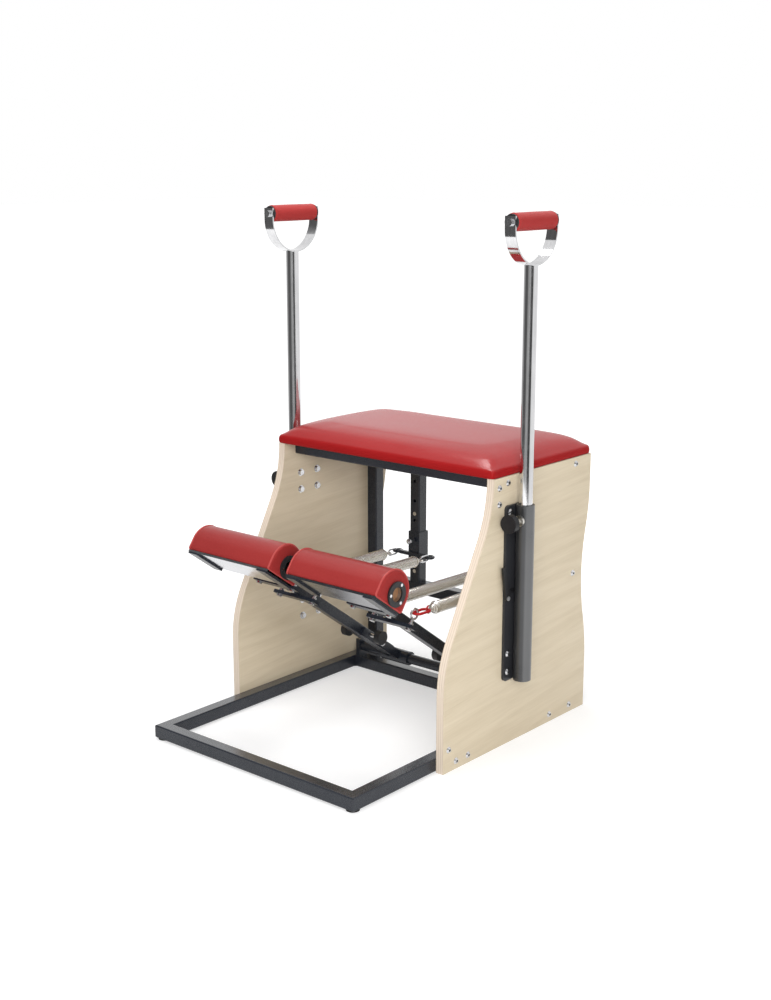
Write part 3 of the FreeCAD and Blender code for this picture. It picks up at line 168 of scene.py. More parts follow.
# %% Start a finish
class Finish:
    """A material in the making: its shader, the place on the piece, and the links into the shader."""

    def __init__(self, name, **constants):
        self.material = bpy.data.materials.new(name)
        self.material.use_nodes = True
        tree = self.material.node_tree
        self.shader = tree.nodes["Principled BSDF"]
        self.value = Value(tree)
        self.place = self.value.node("TexCoord", {}, {}, "Object")
        for socket, number in constants.items():
            self.shader.inputs[socket.replace("_", " ")].default_value = number

    def axes(self):
        """The three coordinates of the place on the piece, as separate values."""
        split = self.value.node("SeparateXYZ", {}, {0: self.place})
        outputs = split.socket.node.outputs
        return [Value(self.value.tree, output) for output in outputs]

    def facing(self, axis):
        """The part of the surface's normal along one axis: one where the face looks that way."""
        normal = self.value.node("NewGeometry", {}, {}, "Normal")
        return self.value.node("SeparateXYZ", {}, {0: normal}, axis)

    def stretched(self, scale, turn=(0, 0, 0)):
        """The place on the piece, turned and then stretched, for a pattern with a direction."""
        turned = self.value.node("Mapping", {"vector_type": "TEXTURE"}, {0: self.place, 2: turn})
        return self.value.node("VectorMath", {"operation": "MULTIPLY"}, {0: turned, 1: scale})

    def noise(self, place, scale, detail=3.0, rough=0.5, twist=0.0):
        """Soft noise between about 0.3 and 0.7."""
        fill = {"Vector": place, "Scale": scale, "Detail": detail, "Roughness": rough, "Distortion": twist}
        return self.value.node("TexNoise", {}, fill)

    def cells(self, place, scale, feature="F1"):
        """Distance to the nearest of many scattered points, or to the edge between two of their cells."""
        return self.value.node("TexVoronoi", {"feature": feature}, {"Vector": place, "Scale": scale})

    def blend(self, share, first, second):
        """A mix of two colours: the first at a share of zero, the second at one."""
        first, second = [c if isinstance(c, Value) else (*c, 1.0) for c in (first, second)]
        return self.value.node("Mix", {"data_type": "RGBA"}, {0: share, 6: first, 7: second}, 2)

    def feed(self, **values):
        """Links values into the shader's sockets."""
        for socket, value in values.items():
            self.value.tree.links.new(value.socket, self.shader.inputs[socket.replace("_", " ")])

    def emboss(self, height, strength, distance):
        """Turns a height into bumps of at most that distance, in metres."""
        bump = self.value.node("Bump", {}, {"Strength": strength, "Distance": distance, "Height": height})
        self.feed(Normal=bump)


print("finish helper ready")

# %% [markdown]
# ## Surfaces from numbers
#
# The soft pieces, the springs and the trim are worked out as grids: two parameters run over a surface, and a
# formula gives the point for each pair. The helper turns one or more such grids into a mesh, joins the last
# row or column to the first where the surface closes, merges the points at a pole, and turns every face
# outwards.

# %% Grids to meshes
def grid_faces(rows, columns, close_rows, close_columns):
    """The four corner numbers of every cell of a grid, wrapping round where it closes."""
    i = np.arange(rows if close_rows else rows - 1)[:, None]
    j = np.arange(columns if close_columns else columns - 1)[None, :]
    below, beside = (i + 1) % rows, (j + 1) % columns
    corners = [i * columns + j, i * columns + beside, below * columns + beside, below * columns + j]
    return np.stack([c + 0 * (i + j) for c in corners], axis=-1).reshape(-1, 4)


def surface(name, grids, close=(False, True), material=None, sharp=None):
    """A piece from one or more grids of points, merged at its poles and with its faces outwards."""
    points, faces, count = [], [], 0
    for grid in grids:
        rows, columns = grid.shape[:2]
        points.append(grid.reshape(-1, 3))
        faces.append(grid_faces(rows, columns, *close) + count)
        count += rows * columns
    mesh = bpy.data.meshes.new(name)
    mesh.from_pydata(np.concatenate(points).tolist(), [], np.concatenate(faces).tolist())
    work = bmesh.new()
    work.from_mesh(mesh)
    bmesh.ops.remove_doubles(work, verts=work.verts, dist=1e-6)
    bmesh.ops.recalc_face_normals(work, faces=work.faces)
    work.to_mesh(mesh)
    work.free()
    mesh.shade_smooth()
    if sharp is not None:
        mesh.set_sharp_from_angle(angle=math.radians(sharp))
    mesh.materials.append(material)
    made = bpy.data.objects.new(name, mesh)
    bpy.context.scene.collection.objects.link(made)
    return made


print("surface helper ready")

# %% [markdown]
# ## Floor, light and surroundings
#
# The chair stands on white paper in even studio light. The floor could be made white with strong lamps, but
# those would bleach the chair too. So the lamps stay plain, and the floor and the surroundings add their own
# white only for rays that come from the camera or from a mirror-like surface. The shadow stays on the floor.

# %% Lay the floor
def seen_ray(value):
    """One for camera, glossy and transmission rays, and zero for the rays that carry light around."""
    path = value.node("LightPath", {}, {}).socket.node.outputs
    seen = [Value(value.tree, path[name]) for name in ("Is Camera Ray", "Is Glossy Ray", "Is Transmission Ray")]
    return value.math("MAXIMUM", value.math("MAXIMUM", seen[0], seen[1]), seen[2])


def white_paper():
    """Matte white with a faint fibre. Seen rays find a greyer paper and a glow that grows away from the chair,
    so the paper looks white to the camera where no shadow lies."""
    paper = Finish("white_paper", Roughness=0.9, Emission_Strength=1.0)
    seen = seen_ray(paper.value)
    white = paper.noise(paper.place, 60.0) * 0.02 + 0.86 - seen * 0.26
    paper.feed(Base_Color=white.grey())
    x, y, z = paper.axes()
    far = paper.value.math("SQRT", x * x + y * y)
    glow = seen * (far.rise(0.5, 2.4) * 0.38 + 0.49)
    paper.feed(Emission_Color=glow.grey())
    return paper.material


def flat_sheet(half):
    """A flat square on the ground: x and y run over a grid, and z is zero."""
    x, y = np.meshgrid(np.linspace(-half, half, 3), np.linspace(-half, half, 3), indexing="ij")
    return np.stack([x, y, np.zeros_like(x)], axis=-1)


floor = surface("floor", [flat_sheet(30.0)], (False, False), white_paper())
print("floor", floor.dimensions[:])

# %% [markdown]
# The light comes from two softboxes, a small one overhead that gives the chair its shadow and a broad one
# beside the camera, and from the room itself. The room's strength could be one number. Here it is full for rays
# that are seen, so the background is white, and low for the rest, so it only lifts the shadows.

# %% Light the room
world = bpy.data.worlds.new("white_room")
bpy.context.scene.world = world
world.use_nodes = True
sky = Value(world.node_tree)
background = world.node_tree.nodes["Background"]
background.inputs["Color"].default_value = (1.0, 1.0, 1.0, 1.0)
sky_level = 0.35
level = seen_ray(sky) * (1.0 - sky_level) + sky_level
world.node_tree.links.new(level.socket, background.inputs["Strength"])


def softbox(name, place, target, size, power):
    """A square lamp that faces a point."""
    lamp = bpy.data.lights.new(name, "AREA")
    lamp.size = size
    lamp.energy = power
    holder = bpy.data.objects.new(name, lamp)
    place, target = np.array(place, float), np.array(target, float)
    back = (place - target) / np.linalg.norm(place - target)
    across = np.cross((0.0, 0.0, 1.0), back) if abs(back[2]) < 0.99 else np.array((1.0, 0.0, 0.0))
    across = across / np.linalg.norm(across)
    turn = np.eye(4)
    turn[:3, :4] = np.stack([across, np.cross(back, across), back, place], axis=1)
    holder.matrix_world = turn.T
    bpy.context.scene.collection.objects.link(holder)
    return holder


overhead = softbox("overhead", (-0.4, 0.15, 3.3), (0.0, 0.0, 0.4), 1.5, 60.0)
front = softbox("front", (2.3, -2.5, 1.7), (0.0, 0.1, 0.4), 2.4, 102.0)
print("lamps", [lamp.data.energy for lamp in (overhead, front)])

# %% [markdown]
# Chrome in an all-white room looks like white paint. In a studio, grey and black cards stand round the object
# just so that bright metal has something to show. Here they are one round wall whose shade changes with the
# angle. Only mirror-like rays see it: the camera, the shadows and the light pass through.

# %% Cards for the chrome
def round_wall(radius, height):
    """The angle runs round the chair and the height runs up."""
    angle, z = np.meshgrid(np.linspace(0.0, 2.0 * np.pi, 97)[:-1], np.linspace(0.0, height, 3), indexing="ij")
    return np.stack([radius * np.cos(angle), radius * np.sin(angle), z], axis=-1)


def card_shades(stops):
    """Grey by the angle round the chair, as a share of the turn: 0 at its left, 0.25 in front, 0.5 at its
    right, 0.75 behind and 1 at its left again."""
    cards = Finish("grey_cards", Base_Color=(0.0, 0.0, 0.0, 1.0), Roughness=1.0, Emission_Strength=1.0)
    x, y, z = cards.axes()
    share = cards.value.math("ARCTAN2", y, x) * (0.5 / math.pi) + 0.5
    greys = [(place, (grey, grey, grey)) for place, grey in stops]
    cards.feed(Emission_Color=cards.value.node("ValToRGB", {"stops": greys}, {0: share}))
    return cards.material


card_stops = [(0.0, 0.45), (0.06, 0.42), (0.10, 0.10), (0.23, 0.10), (0.27, 0.38), (0.36, 0.38), (0.39, 0.06),
              (0.465, 0.06), (0.49, 1.0), (0.78, 1.0), (0.82, 0.78), (0.87, 1.0), (0.955, 1.0), (0.985, 0.45),
              (1.0, 0.45)]
wall = surface("studio_cards", [round_wall(2.6, 3.0)], (True, False), card_shades(card_stops))
wall.visible_camera = wall.visible_diffuse = wall.visible_shadow = False
print("cards", wall.dimensions[:])

# %% [markdown]
# ## Plywood of the sides
#
# Each side is a thick birch board: a pale face with a soft grain that rises gently towards the back, under a
# thin satin varnish, and an edge where the glued layers show as stripes. Painting two materials on one board
# would need a cut between them. Instead the layers are a function of the distance from the chair's middle:
# on a face that distance is constant, so the stripes show on the edge alone.

# %% Plywood
def plywood(name, near, far, layers):
    """Face grain from stretched noise, and glued layers where the place lies between the two faces."""
    wood = Finish(name, IOR=1.45)
    x, y, z = wood.axes()
    depth = (abs(x) - near) * (1.0 / (far - near))
    rising = (math.radians(4.0), 0.0, 0.0)
    figure = wood.noise(wood.stretched((1.0, 1.2, 16.0), rising), 3.0, 4.0, 0.5, 0.5)
    fibre = wood.noise(wood.stretched((1.0, 8.0, 420.0), rising), 2.0, 2.0, 0.6)
    tone = figure * 0.5 + fibre * 0.25 + 0.13
    tones = [(0.24, (0.54, 0.44, 0.295)), (0.42, (0.64, 0.54, 0.385)), (0.56, (0.70, 0.60, 0.440)),
             (0.80, (0.76, 0.67, 0.515))]
    pale = wood.value.node("ValToRGB", {"stops": tones}, {0: tone})
    wave = wood.value.math("SINE", depth * (math.pi * layers) + wood.noise(wood.place, 18.0) * 0.6)
    dark = wave.rise(0.3, 1.0) * 0.8
    edge = wood.blend(dark, (0.76, 0.65, 0.53), (0.60, 0.48, 0.38))
    inside = depth.rise(0.015, 0.03) * (1.0 - depth.rise(0.97, 0.985))
    wood.feed(Base_Color=wood.blend(inside, pale, edge))
    wood.feed(Roughness=(1.0 - tone) * 0.16 + 0.34 + inside * 0.2)
    wood.emboss(fibre * 0.5 + figure * 0.3 + dark * inside * 0.6, 0.35, 0.0004)
    return wood.material


panel_low, panel_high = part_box("right_panel")
side_wood = plywood("birch_plywood", panel_low[0], panel_high[0], 7)
print("panel", panel_low[:], panel_high[:])

# %% [markdown]
# ## Coated steel
#
# The base, the posts, the arms and the handle sockets are steel under a baked powder coat. A powder coat is
# never mirror smooth: it has a faint orange-peel skin, so a highlight along a tube breaks up softly. A clear
# coat grows on the faces that look up with the upward part of the normal: a painted sheen, so that tops catch
# more light than sides. One function makes all the coats, and the colour and the gloss set them apart.

# %% Powder coat
def powder_coat(name, dark, light, gloss):
    """Two near shades by soft noise, a fine skin as bumps and as changes of gloss, and a painted sheen on the
    tops.
    """
    coat = Finish(name, IOR=1.44, Coat_Roughness=0.2)
    cloud = coat.noise(coat.place, 14.0, 3.0)
    skin = coat.noise(coat.place, 900.0, 2.0)
    coat.feed(Base_Color=coat.blend(cloud, dark, light))
    coat.feed(Roughness=(skin - 0.5) * 0.16 + cloud * 0.06 + gloss)
    # Painted sheen: a clear coat on the faces that look up, none on the sides.
    coat.feed(Coat_Weight=coat.facing("Z").rise(0.6, 0.95) * (cloud * 0.2 + 0.8))
    coat.emboss(skin, 0.16, 0.0003)
    return coat.material


frame_coat = powder_coat("charcoal_coat", (0.013, 0.016, 0.023), (0.020, 0.024, 0.033), 0.24)
lever_coat = powder_coat("lever_coat", (0.005, 0.005, 0.006), (0.009, 0.009, 0.010), 0.34)
print("coats", frame_coat.name, lever_coat.name)

# %% [markdown]
# ## Bright metal
#
# The poles and hand loops are chromed, the bolts are zinc plated, the springs nickel plated, the board under
# each pedal has a bright metallised face, and the pedal tubes are drawn steel. All are metals with a low
# roughness. What tells them apart is their tint and the marks of how they were made: fine lines along a drawn
# bar, small clouds on zinc. Two of them have dark places. A bolt's hex socket gets painted shade on its floor,
# and the cut ends of a pedal's board aren't metallised. Both are flat faces that look sideways, so the X part of
# the normal finds them, and the socket's known depth tells its floor from the rest of the bolt.

# %% Plated and drawn metal
socket_depth = 0.002


def sideways(metal):
    """One on faces that look along X, and zero on all others."""
    return abs(metal.facing("X")).rise(0.9, 0.98)


def shaded_socket_floors(metal):
    """One on the floors of the hex sockets, at two known distances from the chair's middle: where shade is
    painted.
    """
    x, y, z = metal.axes()
    heads = [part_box(node)[1][0] for node in ("frame_bolts", "socket_bolts")]
    panel, plate = [1.0 - abs(abs(x) - (head - socket_depth)).rise(0.0003, 0.0005) for head in heads]
    return (panel + plate) * sideways(metal)


def bright_metal(name, dark, light, gloss, grain, scale=(1.0, 1.0, 1.0), dull_and_shaded=None):
    """Tint and gloss follow one noise, stretched along the way in which the metal was worked."""
    metal = Finish(name, Metallic=1.0)
    worked = metal.noise(metal.stretched(scale), grain, 3.0, 0.6)
    cloud = metal.noise(metal.place, 30.0, 2.0)
    share = (worked - 0.3) * 1.6 + (cloud - 0.5) * 0.6
    tint = metal.blend(share, dark, light)
    # Painted shade on the floors of hex sockets, and the real dark of a board's raw cut ends.
    if dull_and_shaded:
        tint = metal.blend(dull_and_shaded(metal), tint, (0.03, 0.03, 0.03))
    metal.feed(Base_Color=tint)
    metal.feed(Roughness=(worked - 0.5) * 0.12 + (cloud - 0.5) * 0.08 + gloss)
    metal.emboss(worked, 0.15, 0.00005)
    return metal.material


chrome = bright_metal("chrome", (0.60, 0.60, 0.61), (0.78, 0.78, 0.79), 0.09, 160.0, (1.0, 1.0, 0.06))
zinc = bright_metal("zinc_plate", (0.56, 0.56, 0.57), (0.80, 0.80, 0.82), 0.24, 320.0, dull_and_shaded=shaded_socket_floors)
nickel = bright_metal("nickel_plate", (0.78, 0.75, 0.69), (0.95, 0.92, 0.86), 0.24, 260.0)
drawn_steel = bright_metal("drawn_steel", (0.42, 0.42, 0.43), (0.62, 0.62, 0.63), 0.28, 240.0, (0.05, 1.0, 1.0))
pale_board = bright_metal("pale_board", (0.50, 0.51, 0.54), (0.62, 0.63, 0.66), 0.16, 30.0, dull_and_shaded=sideways)
# A darker copy of the pale board: painted shade for the right pedal's board.
shaded_board = bright_metal("shaded_board", (0.22, 0.23, 0.26), (0.30, 0.31, 0.34), 0.20, 30.0, dull_and_shaded=sideways)
print("metals", chrome.name, zinc.name, nickel.name, drawn_steel.name, pale_board.name)

# %% [markdown]
# ## Plastic and rubber
#
# Knobs, bushes, flanges and feet are moulded in black plastic or rubber. Moulded parts have an even, slightly
# sparkling skin that comes from the mould.

# %% Moulded parts
def moulded(name, dark, light, gloss, grain=700.0, depth=0.00015):
    """A fine cell pattern for the mould's skin over a soft change of shade."""
    mould = Finish(name, IOR=1.36)
    skin = mould.cells(mould.place, grain)
    cloud = mould.noise(mould.place, 24.0)
    mould.feed(Base_Color=mould.blend(cloud, dark, light))
    mould.feed(Roughness=skin * 0.14 + (cloud - 0.5) * 0.1 + gloss)
    mould.emboss(skin, 0.3, depth)
    return mould.material


knob_plastic = moulded("knob_plastic", (0.014, 0.014, 0.015), (0.026, 0.026, 0.028), 0.36)
bush_plastic = moulded("bush_plastic", (0.012, 0.012, 0.013), (0.022, 0.022, 0.024), 0.42)
flange_plastic = moulded("flange_plastic", (0.013, 0.013, 0.014), (0.024, 0.024, 0.026), 0.34)
foot_rubber = moulded("foot_rubber", (0.014, 0.014, 0.014), (0.028, 0.028, 0.028), 0.62, 420.0)
print("moulded", knob_plastic.name, foot_rubber.name)

# %% [markdown]
# ## Red vinyl
#
# Seat, pedals and grips are covered in red upholstery vinyl: a soft leather-like grain of small rounded cells
# with fine creases between them, a satin shine, and a colour that is a little lighter on top of the grain.
# Voronoi cells give that grain. The distance to a cell's edge makes the creases. A thin clear coat grows on
# faces that look up with the upward part of the normal: a painted sheen on the tops.

# %% Vinyl
def vinyl(name, deep, light, gloss, top_sheen, grain=520.0, relief=0.00022):
    """Rounded cells with dark creases, slow clouds of colour, and more gloss on top of the grain."""
    cover = Finish(name, IOR=1.10, Coat_Roughness=0.24)
    wander = cover.noise(cover.place, 90.0, 2.0)
    shifted = cover.value.node("VectorMath", {"operation": "MULTIPLY_ADD"},
                               {0: wander.grey(), 1: (0.004, 0.004, 0.004), 2: cover.place})
    crease = cover.cells(shifted, grain, "DISTANCE_TO_EDGE").rise(0.0, 0.16)
    pores = cover.noise(cover.place, 1900.0, 2.0)
    cloud = cover.noise(cover.place, 9.0, 3.0)
    mottle = cover.noise(cover.place, 320.0, 2.0)
    share = crease * 0.3 + cloud * 0.6 + mottle * 0.5 - 0.2
    cover.feed(Base_Color=cover.blend(share, deep, light))
    cover.feed(Roughness=(1.0 - crease) * 0.14 + (cloud - 0.5) * 0.10 + (pores - 0.5) * 0.08 + gloss)
    # Painted sheen: a clear coat on the faces that look up.
    cover.feed(Coat_Weight=(crease * 0.3 + 0.7) * cover.facing("Z").rise(0.1, 0.8) * top_sheen)
    cover.emboss(crease * 0.8 + pores * 0.3, 0.32, relief)
    return cover.material


seat_vinyl = vinyl("seat_vinyl", (0.290, 0.009, 0.010), (0.370, 0.014, 0.015), 0.32, 0.85)
pedal_vinyl = vinyl("pedal_vinyl", (0.255, 0.024, 0.023), (0.345, 0.036, 0.034), 0.32, 0.55)
grip_vinyl = vinyl("grip_vinyl", (0.350, 0.032, 0.031), (0.440, 0.048, 0.046), 0.38, 0.4, 900.0, 0.00012)
# The welts' vinyl is a lighter red than the pedals': a painted highlight along the sewn ridge.
lit_welt_vinyl = vinyl("lit_welt_vinyl", (0.38, 0.055, 0.050), (0.48, 0.080, 0.075), 0.40, 0.3, 900.0, 0.00012)
print("vinyl", seat_vinyl.name, pedal_vinyl.name, grip_vinyl.name)

# %% [markdown]
# ## Dowel, seat board and snap hooks
#
# The joining dowel is an oiled brown rod with its grain along its length. The board under the seat is raw
# plywood. Some CAD nodes hold two finishes: a snap hook is nickel at its plug and red along its loop, and a
# clamp knob is black with a plated lock nut behind it. There the finish changes at a place in the chair's Y
# direction.

# %% Dowel and board
def plain_wood(name, stretch, deep, light, gloss):
    """Grain from noise drawn out along one direction, with pores as fine dark lines."""
    wood = Finish(name, IOR=1.45)
    figure = wood.noise(wood.stretched(stretch), 1.0, 4.0, 0.6, 0.8)
    pores = wood.noise(wood.stretched(tuple(4.0 * s for s in stretch)), 2.0, 2.0)
    share = figure * 1.3 + pores * 0.5 - 0.4
    wood.feed(Base_Color=wood.blend(share, deep, light))
    wood.feed(Roughness=(pores - 0.5) * 0.2 + gloss)
    wood.emboss(pores, 0.3, 0.0003)
    return wood.material


dowel_wood = plain_wood("oiled_dowel", (9.0, 260.0, 260.0), (0.20, 0.085, 0.035), (0.42, 0.22, 0.10), 0.45)
board_wood = plain_wood("seat_board_ply", (8.0, 120.0, 300.0), (0.36, 0.27, 0.18), (0.56, 0.45, 0.32), 0.6)


def two_tone(name, border, deep, light):
    """Plated metal behind a border in Y and a colour in front of it, with clouds and fine marks on both."""
    piece = Finish(name, IOR=1.25)
    x, y, z = piece.axes()
    front = 1.0 - y.rise(border - 0.0008, border + 0.0008)
    cloud = piece.noise(piece.place, 220.0)
    plated = piece.blend(cloud, (0.58, 0.56, 0.52), (0.80, 0.78, 0.73))
    piece.feed(Base_Color=piece.blend(front, plated, piece.blend(cloud, deep, light)), Metallic=1.0 - front)
    piece.feed(Roughness=(cloud - 0.5) * 0.06 + 0.30)
    piece.emboss(cloud, 0.04, 0.0001)
    return piece.material


loop_length, knob_depth = 0.049, 0.026
hook_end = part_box("right_snap_hooks")[0][1] + loop_length
snap_finish = two_tone("snap_hook", hook_end, (0.34, 0.012, 0.014), (0.50, 0.024, 0.026))
knob_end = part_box("right_clamp_knob")[0][1] + knob_depth
clamp_finish = two_tone("clamp_knob", knob_end, (0.012, 0.012, 0.013), (0.024, 0.024, 0.026))
print("hooks are red up to y", hook_end, "and knobs black up to y", knob_end)

# %% [markdown]
# A handle socket is one welded piece with three finishes: a black plate against the wood, a grey tube that
# stands off from it, and the plated end of the lever's pin. Three materials would need three groups of faces.
# The plate's outer face lies at a known distance from the chair's middle and the pin round a known point, so
# here the place decides.

# %% Handle sockets
def socket_coat(name, plate_face, pivot, pin):
    """A near-black plate, a grey tube where the place lies outside the plate's face, and a plated lever pin.
    The half of the tube that faces out is painted paler and its other half darker: painted light and shade."""
    coat = Finish(name, IOR=1.4)
    x, y, z = coat.axes()
    tube = abs(x).rise(plate_face, plate_face + 0.0006)
    off_y, off_z = y - pivot[1], z - pivot[2]
    head = tube * (1.0 - coat.value.math("SQRT", off_y * off_y + off_z * off_z).rise(pin, pin + 0.0004))
    cloud = coat.noise(coat.place, 14.0, 3.0)
    skin = coat.noise(coat.place, 900.0, 2.0)
    # Painted light and shade: the tube is paler where it faces out along X, darker where it faces front or back.
    lit_side = abs(coat.facing("X")).rise(0.52, 0.74)
    black = coat.blend(cloud, (0.022, 0.023, 0.026), (0.032, 0.033, 0.037))
    grey = coat.blend(lit_side, coat.blend(cloud, (0.062, 0.063, 0.065), (0.080, 0.081, 0.084)),
                      coat.blend(cloud, (0.125, 0.127, 0.130), (0.155, 0.157, 0.160)))
    plated = coat.blend(cloud, (0.58, 0.58, 0.58), (0.74, 0.74, 0.75))
    coat.feed(Base_Color=coat.blend(head, coat.blend(tube, black, grey), plated))
    coat.feed(Metallic=tube * 0.6 + head * 0.4)
    coat.feed(Roughness=(skin - 0.5) * 0.06 + cloud * 0.04 + 0.27)
    coat.emboss(skin, 0.08, 0.0002)
    return coat.material


pivots = {joint["name"]: joint["pos_m"] for joint in frame["record"]["behaviour"]["joints"] if "pos_m" in joint}
lever_gap, pin_radius = 0.0004, 0.0056
plate_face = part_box("right_latch_lever")[0][0] - lever_gap
socket_finish = socket_coat("socket_coat", plate_face, pivots["right_latch_pull"], pin_radius)
print("lever pivot", pivots["right_latch_pull"])

# %% [markdown]
# ## Dress the CAD pieces
#
# Each CAD piece names a slot of the record, such as the frame's black or the springs' nickel. One table from
# slot to finish dresses all of them, and a second, short table holds the pieces with a finish of their own: the
# clamp knobs, and the right pedal's board, a darker copy of the left one's as painted shade. The meshes stay as
# they are.

# %% Finishes by slot
finishes = {
    "plywood": side_wood,
    "frame_black": frame_coat,
    "foot_rubber": foot_rubber,
    "zinc": zinc,
    "seat_ply": board_wood,
    "seat_red": seat_vinyl,
    "pedal_red": pedal_vinyl,
    "grip_red": grip_vinyl,
    "bush_black": bush_plastic,
    "shaft_steel": drawn_steel,
    "dowel_wood": dowel_wood,
    "socket_grey": socket_finish,
    "chrome": chrome,
    "knob_black": knob_plastic,
    "lever_black": lever_coat,
    "pedal_grey": pale_board,
    "flange_black": flange_plastic,
    "spring_nickel": nickel,
    "snap_red": snap_finish,
}
by_node = {f"{side}_clamp_knob": clamp_finish for side in SIDES}
# The right pedal's board gets the darker copy: painted shade.
by_node["right_pedal_board"] = shaded_board
for entry in frame["record"]["subparts"]:
    piece = frame["nodes"][entry["node"]]
    for holder in piece.material_slots:
        holder.material = by_node.get(entry["node"], finishes[entry["material_slot"]])

# %% [markdown]
# ## Padding
#
# Vinyl over foam is taut in the middle, soft at its edges and never quite even. A cloth simulation gives that:
# the shape is remeshed into even cells, a little pressure blows it up from a slightly smaller start, and the
# part that is stapled to the board is pinned. Every point's move is capped, so the pad keeps its size, and then
# evened out among its neighbours, because taut vinyl shows no small wrinkles.

# %% Blow up a cover
cover_pressure, cloth_frames, evening_rounds = 4.0, 20, 12


def remeshed(piece, cell):
    """The piece with an even skin of cells of that size."""
    change = piece.modifiers.new("even_cells", "REMESH")
    change.mode = "VOXEL"
    change.voxel_size = cell
    change.use_smooth_shade = True
    graph = bpy.context.evaluated_depsgraph_get()
    even = bpy.data.meshes.new_from_object(piece.evaluated_get(graph))
    piece.modifiers.remove(change)
    even.materials.clear()
    even.materials.append(piece.data.materials[0])
    piece.data = even


def positions(mesh):
    """All points of a mesh as rows of three numbers."""
    flat = np.empty(len(mesh.vertices) * 3)
    mesh.vertices.foreach_get("co", flat)
    return flat.reshape(-1, 3)


def evened(mesh, rows, rounds):
    """Rows of numbers on a mesh's points, each replaced that many times by the mean of its neighbours' rows."""
    ends = np.empty(len(mesh.edges) * 2, dtype=int)
    mesh.edges.foreach_get("vertices", ends)
    one, other = ends.reshape(-1, 2).T
    beside = np.bincount(ends, minlength=len(rows))
    for step in range(rounds):
        sums = [np.bincount(one, axis[other], len(rows)) + np.bincount(other, axis[one], len(rows))
                for axis in rows.T]
        rows = np.stack(sums, axis=1) / beside[:, None]
    return rows


def padded(piece, cell, pinned, cap):
    """Remesh, inflate for some frames with the stapled points pinned, cap the moves and even them out."""
    remeshed(piece, cell)
    start = positions(piece.data)
    held = piece.vertex_groups.new(name="held")
    held.add(np.flatnonzero(pinned(start)).tolist(), 1.0, "REPLACE")
    cloth = piece.modifiers.new("cover", "CLOTH")
    cloth.settings.use_pressure = True
    cloth.settings.uniform_pressure_force = cover_pressure
    cloth.settings.effector_weights.gravity = 0.0
    cloth.settings.vertex_group_mass = "held"
    for step in range(1, cloth_frames + 1):
        bpy.context.scene.frame_set(step)
    graph = bpy.context.evaluated_depsgraph_get()
    blown = bpy.data.meshes.new_from_object(piece.evaluated_get(graph))
    move = positions(blown) - start
    size = np.maximum(np.linalg.norm(move, axis=1, keepdims=True), 1e-9)
    piece.modifiers.remove(cloth)
    piece.vertex_groups.clear()
    bpy.context.scene.frame_set(1)
    capped = evened(piece.data, move * np.minimum(1.0, cap / size), evening_rounds)
    piece.data.vertices.foreach_set("co", (start + capped).ravel())
    print(piece.name, "largest move", round(float(size.max()) * 1000, 1), "mm, capped at", cap * 1000, "mm")
    smooth = piece.modifiers.new("round", "SUBSURF")
    smooth.levels = smooth.render_levels = 1
    piece.data.shade_smooth()


print("padding helper ready")

# %% [markdown]
# ## The seat
#
# The seat is a board with foam and vinyl drawn over it. Its plan is a rectangle with rounded corners. Points
# spread by angle would crowd at the corners, so every outline here is walked in even steps along its length.

# %% Outlines in even steps
def even_steps(a, b, count):
    """A closed outline through the points (a, b), as that many points at even steps along it."""
    path = np.concatenate([[0.0], np.cumsum(np.hypot(np.diff(a, append=a[:1]), np.diff(b, append=b[:1])))])
    even = np.linspace(0.0, path[-1], count, endpoint=False)
    return [np.interp(even, path, np.append(axis, axis[0])) for axis in (a, b)]


def rounded_rectangle(half, corner, count):
    """A rectangle of those half sizes about the origin, with quarter circles at its corners."""
    turn = (np.arange(36) + 0.5) * (2.0 * np.pi / 36)
    a = np.sign(np.cos(turn)) * (half[0] - corner) + corner * np.cos(turn)
    b = np.sign(np.sin(turn)) * (half[1] - corner) + corner * np.sin(turn)
    return even_steps(a, b, count)


print("outline helpers ready")

# %% [markdown]
# The seat's edge stands nearly upright for a finger's width, rolls over quickly, and then rises slowly to a
# flat crown. The height is the product of two shoulder curves, one for the distance to each pair of edges. The
# smaller of the two would do as well, but it leaves a sharp ridge at each corner that vinyl over foam never
# has.

# %% Seat cushion
seat_corner, seat_edge, seat_cell, seat_cap = 0.008, 0.020, 0.006, 0.003
stapled_height = 0.012


def shoulder(distance):
    """Zero at the edge and nearly one well inside: a quick roll and a slow rise, both hyperbolic tangents."""
    return 0.82 * np.tanh(distance / 0.024) + 0.18 * np.tanh(distance / 0.075)


def seat_points(low, high, corner, edge):
    """Rings from the middle of the base out to the rim, up the side and in over the top to the middle."""
    middle, half = (low + high) / 2, (high - low) / 2
    plan = rounded_rectangle(half, corner, 320)
    out = np.linspace(0.0, 1.0, 24)
    side = np.linspace(0.0, 1.0, 8)[1:-1]
    share = np.concatenate([out, np.ones_like(side) + 0.004 * np.sin(np.pi * side), out[::-1] ** 0.8])
    x, y = [share[:, None] * p[None, :] for p in plan]
    rise = shoulder(half[0] - np.abs(x)) * shoulder(half[1] - np.abs(y))
    top = low[2] + edge + (high[2] - low[2] - edge) * np.clip(rise, 0.0, 1.0)
    z = np.where(np.arange(len(share))[:, None] < len(out), low[2], top)
    z[len(out):len(out) + len(side)] = low[2] + edge * side[:, None]
    return np.stack([x + middle[0], y + middle[1], z], axis=-1)


seat_low, seat_high = [np.array(corner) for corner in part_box("seat_cushion")]
seat = surface("seat_pad", [seat_points(seat_low, seat_high, seat_corner, seat_edge)], material=seat_vinyl)
padded(seat, seat_cell, lambda p: p[:, 2] < seat_low[2] + stapled_height, seat_cap)
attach(seat, "chair")
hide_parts("seat_cushion")
print("seat", len(seat.data.vertices), "points")

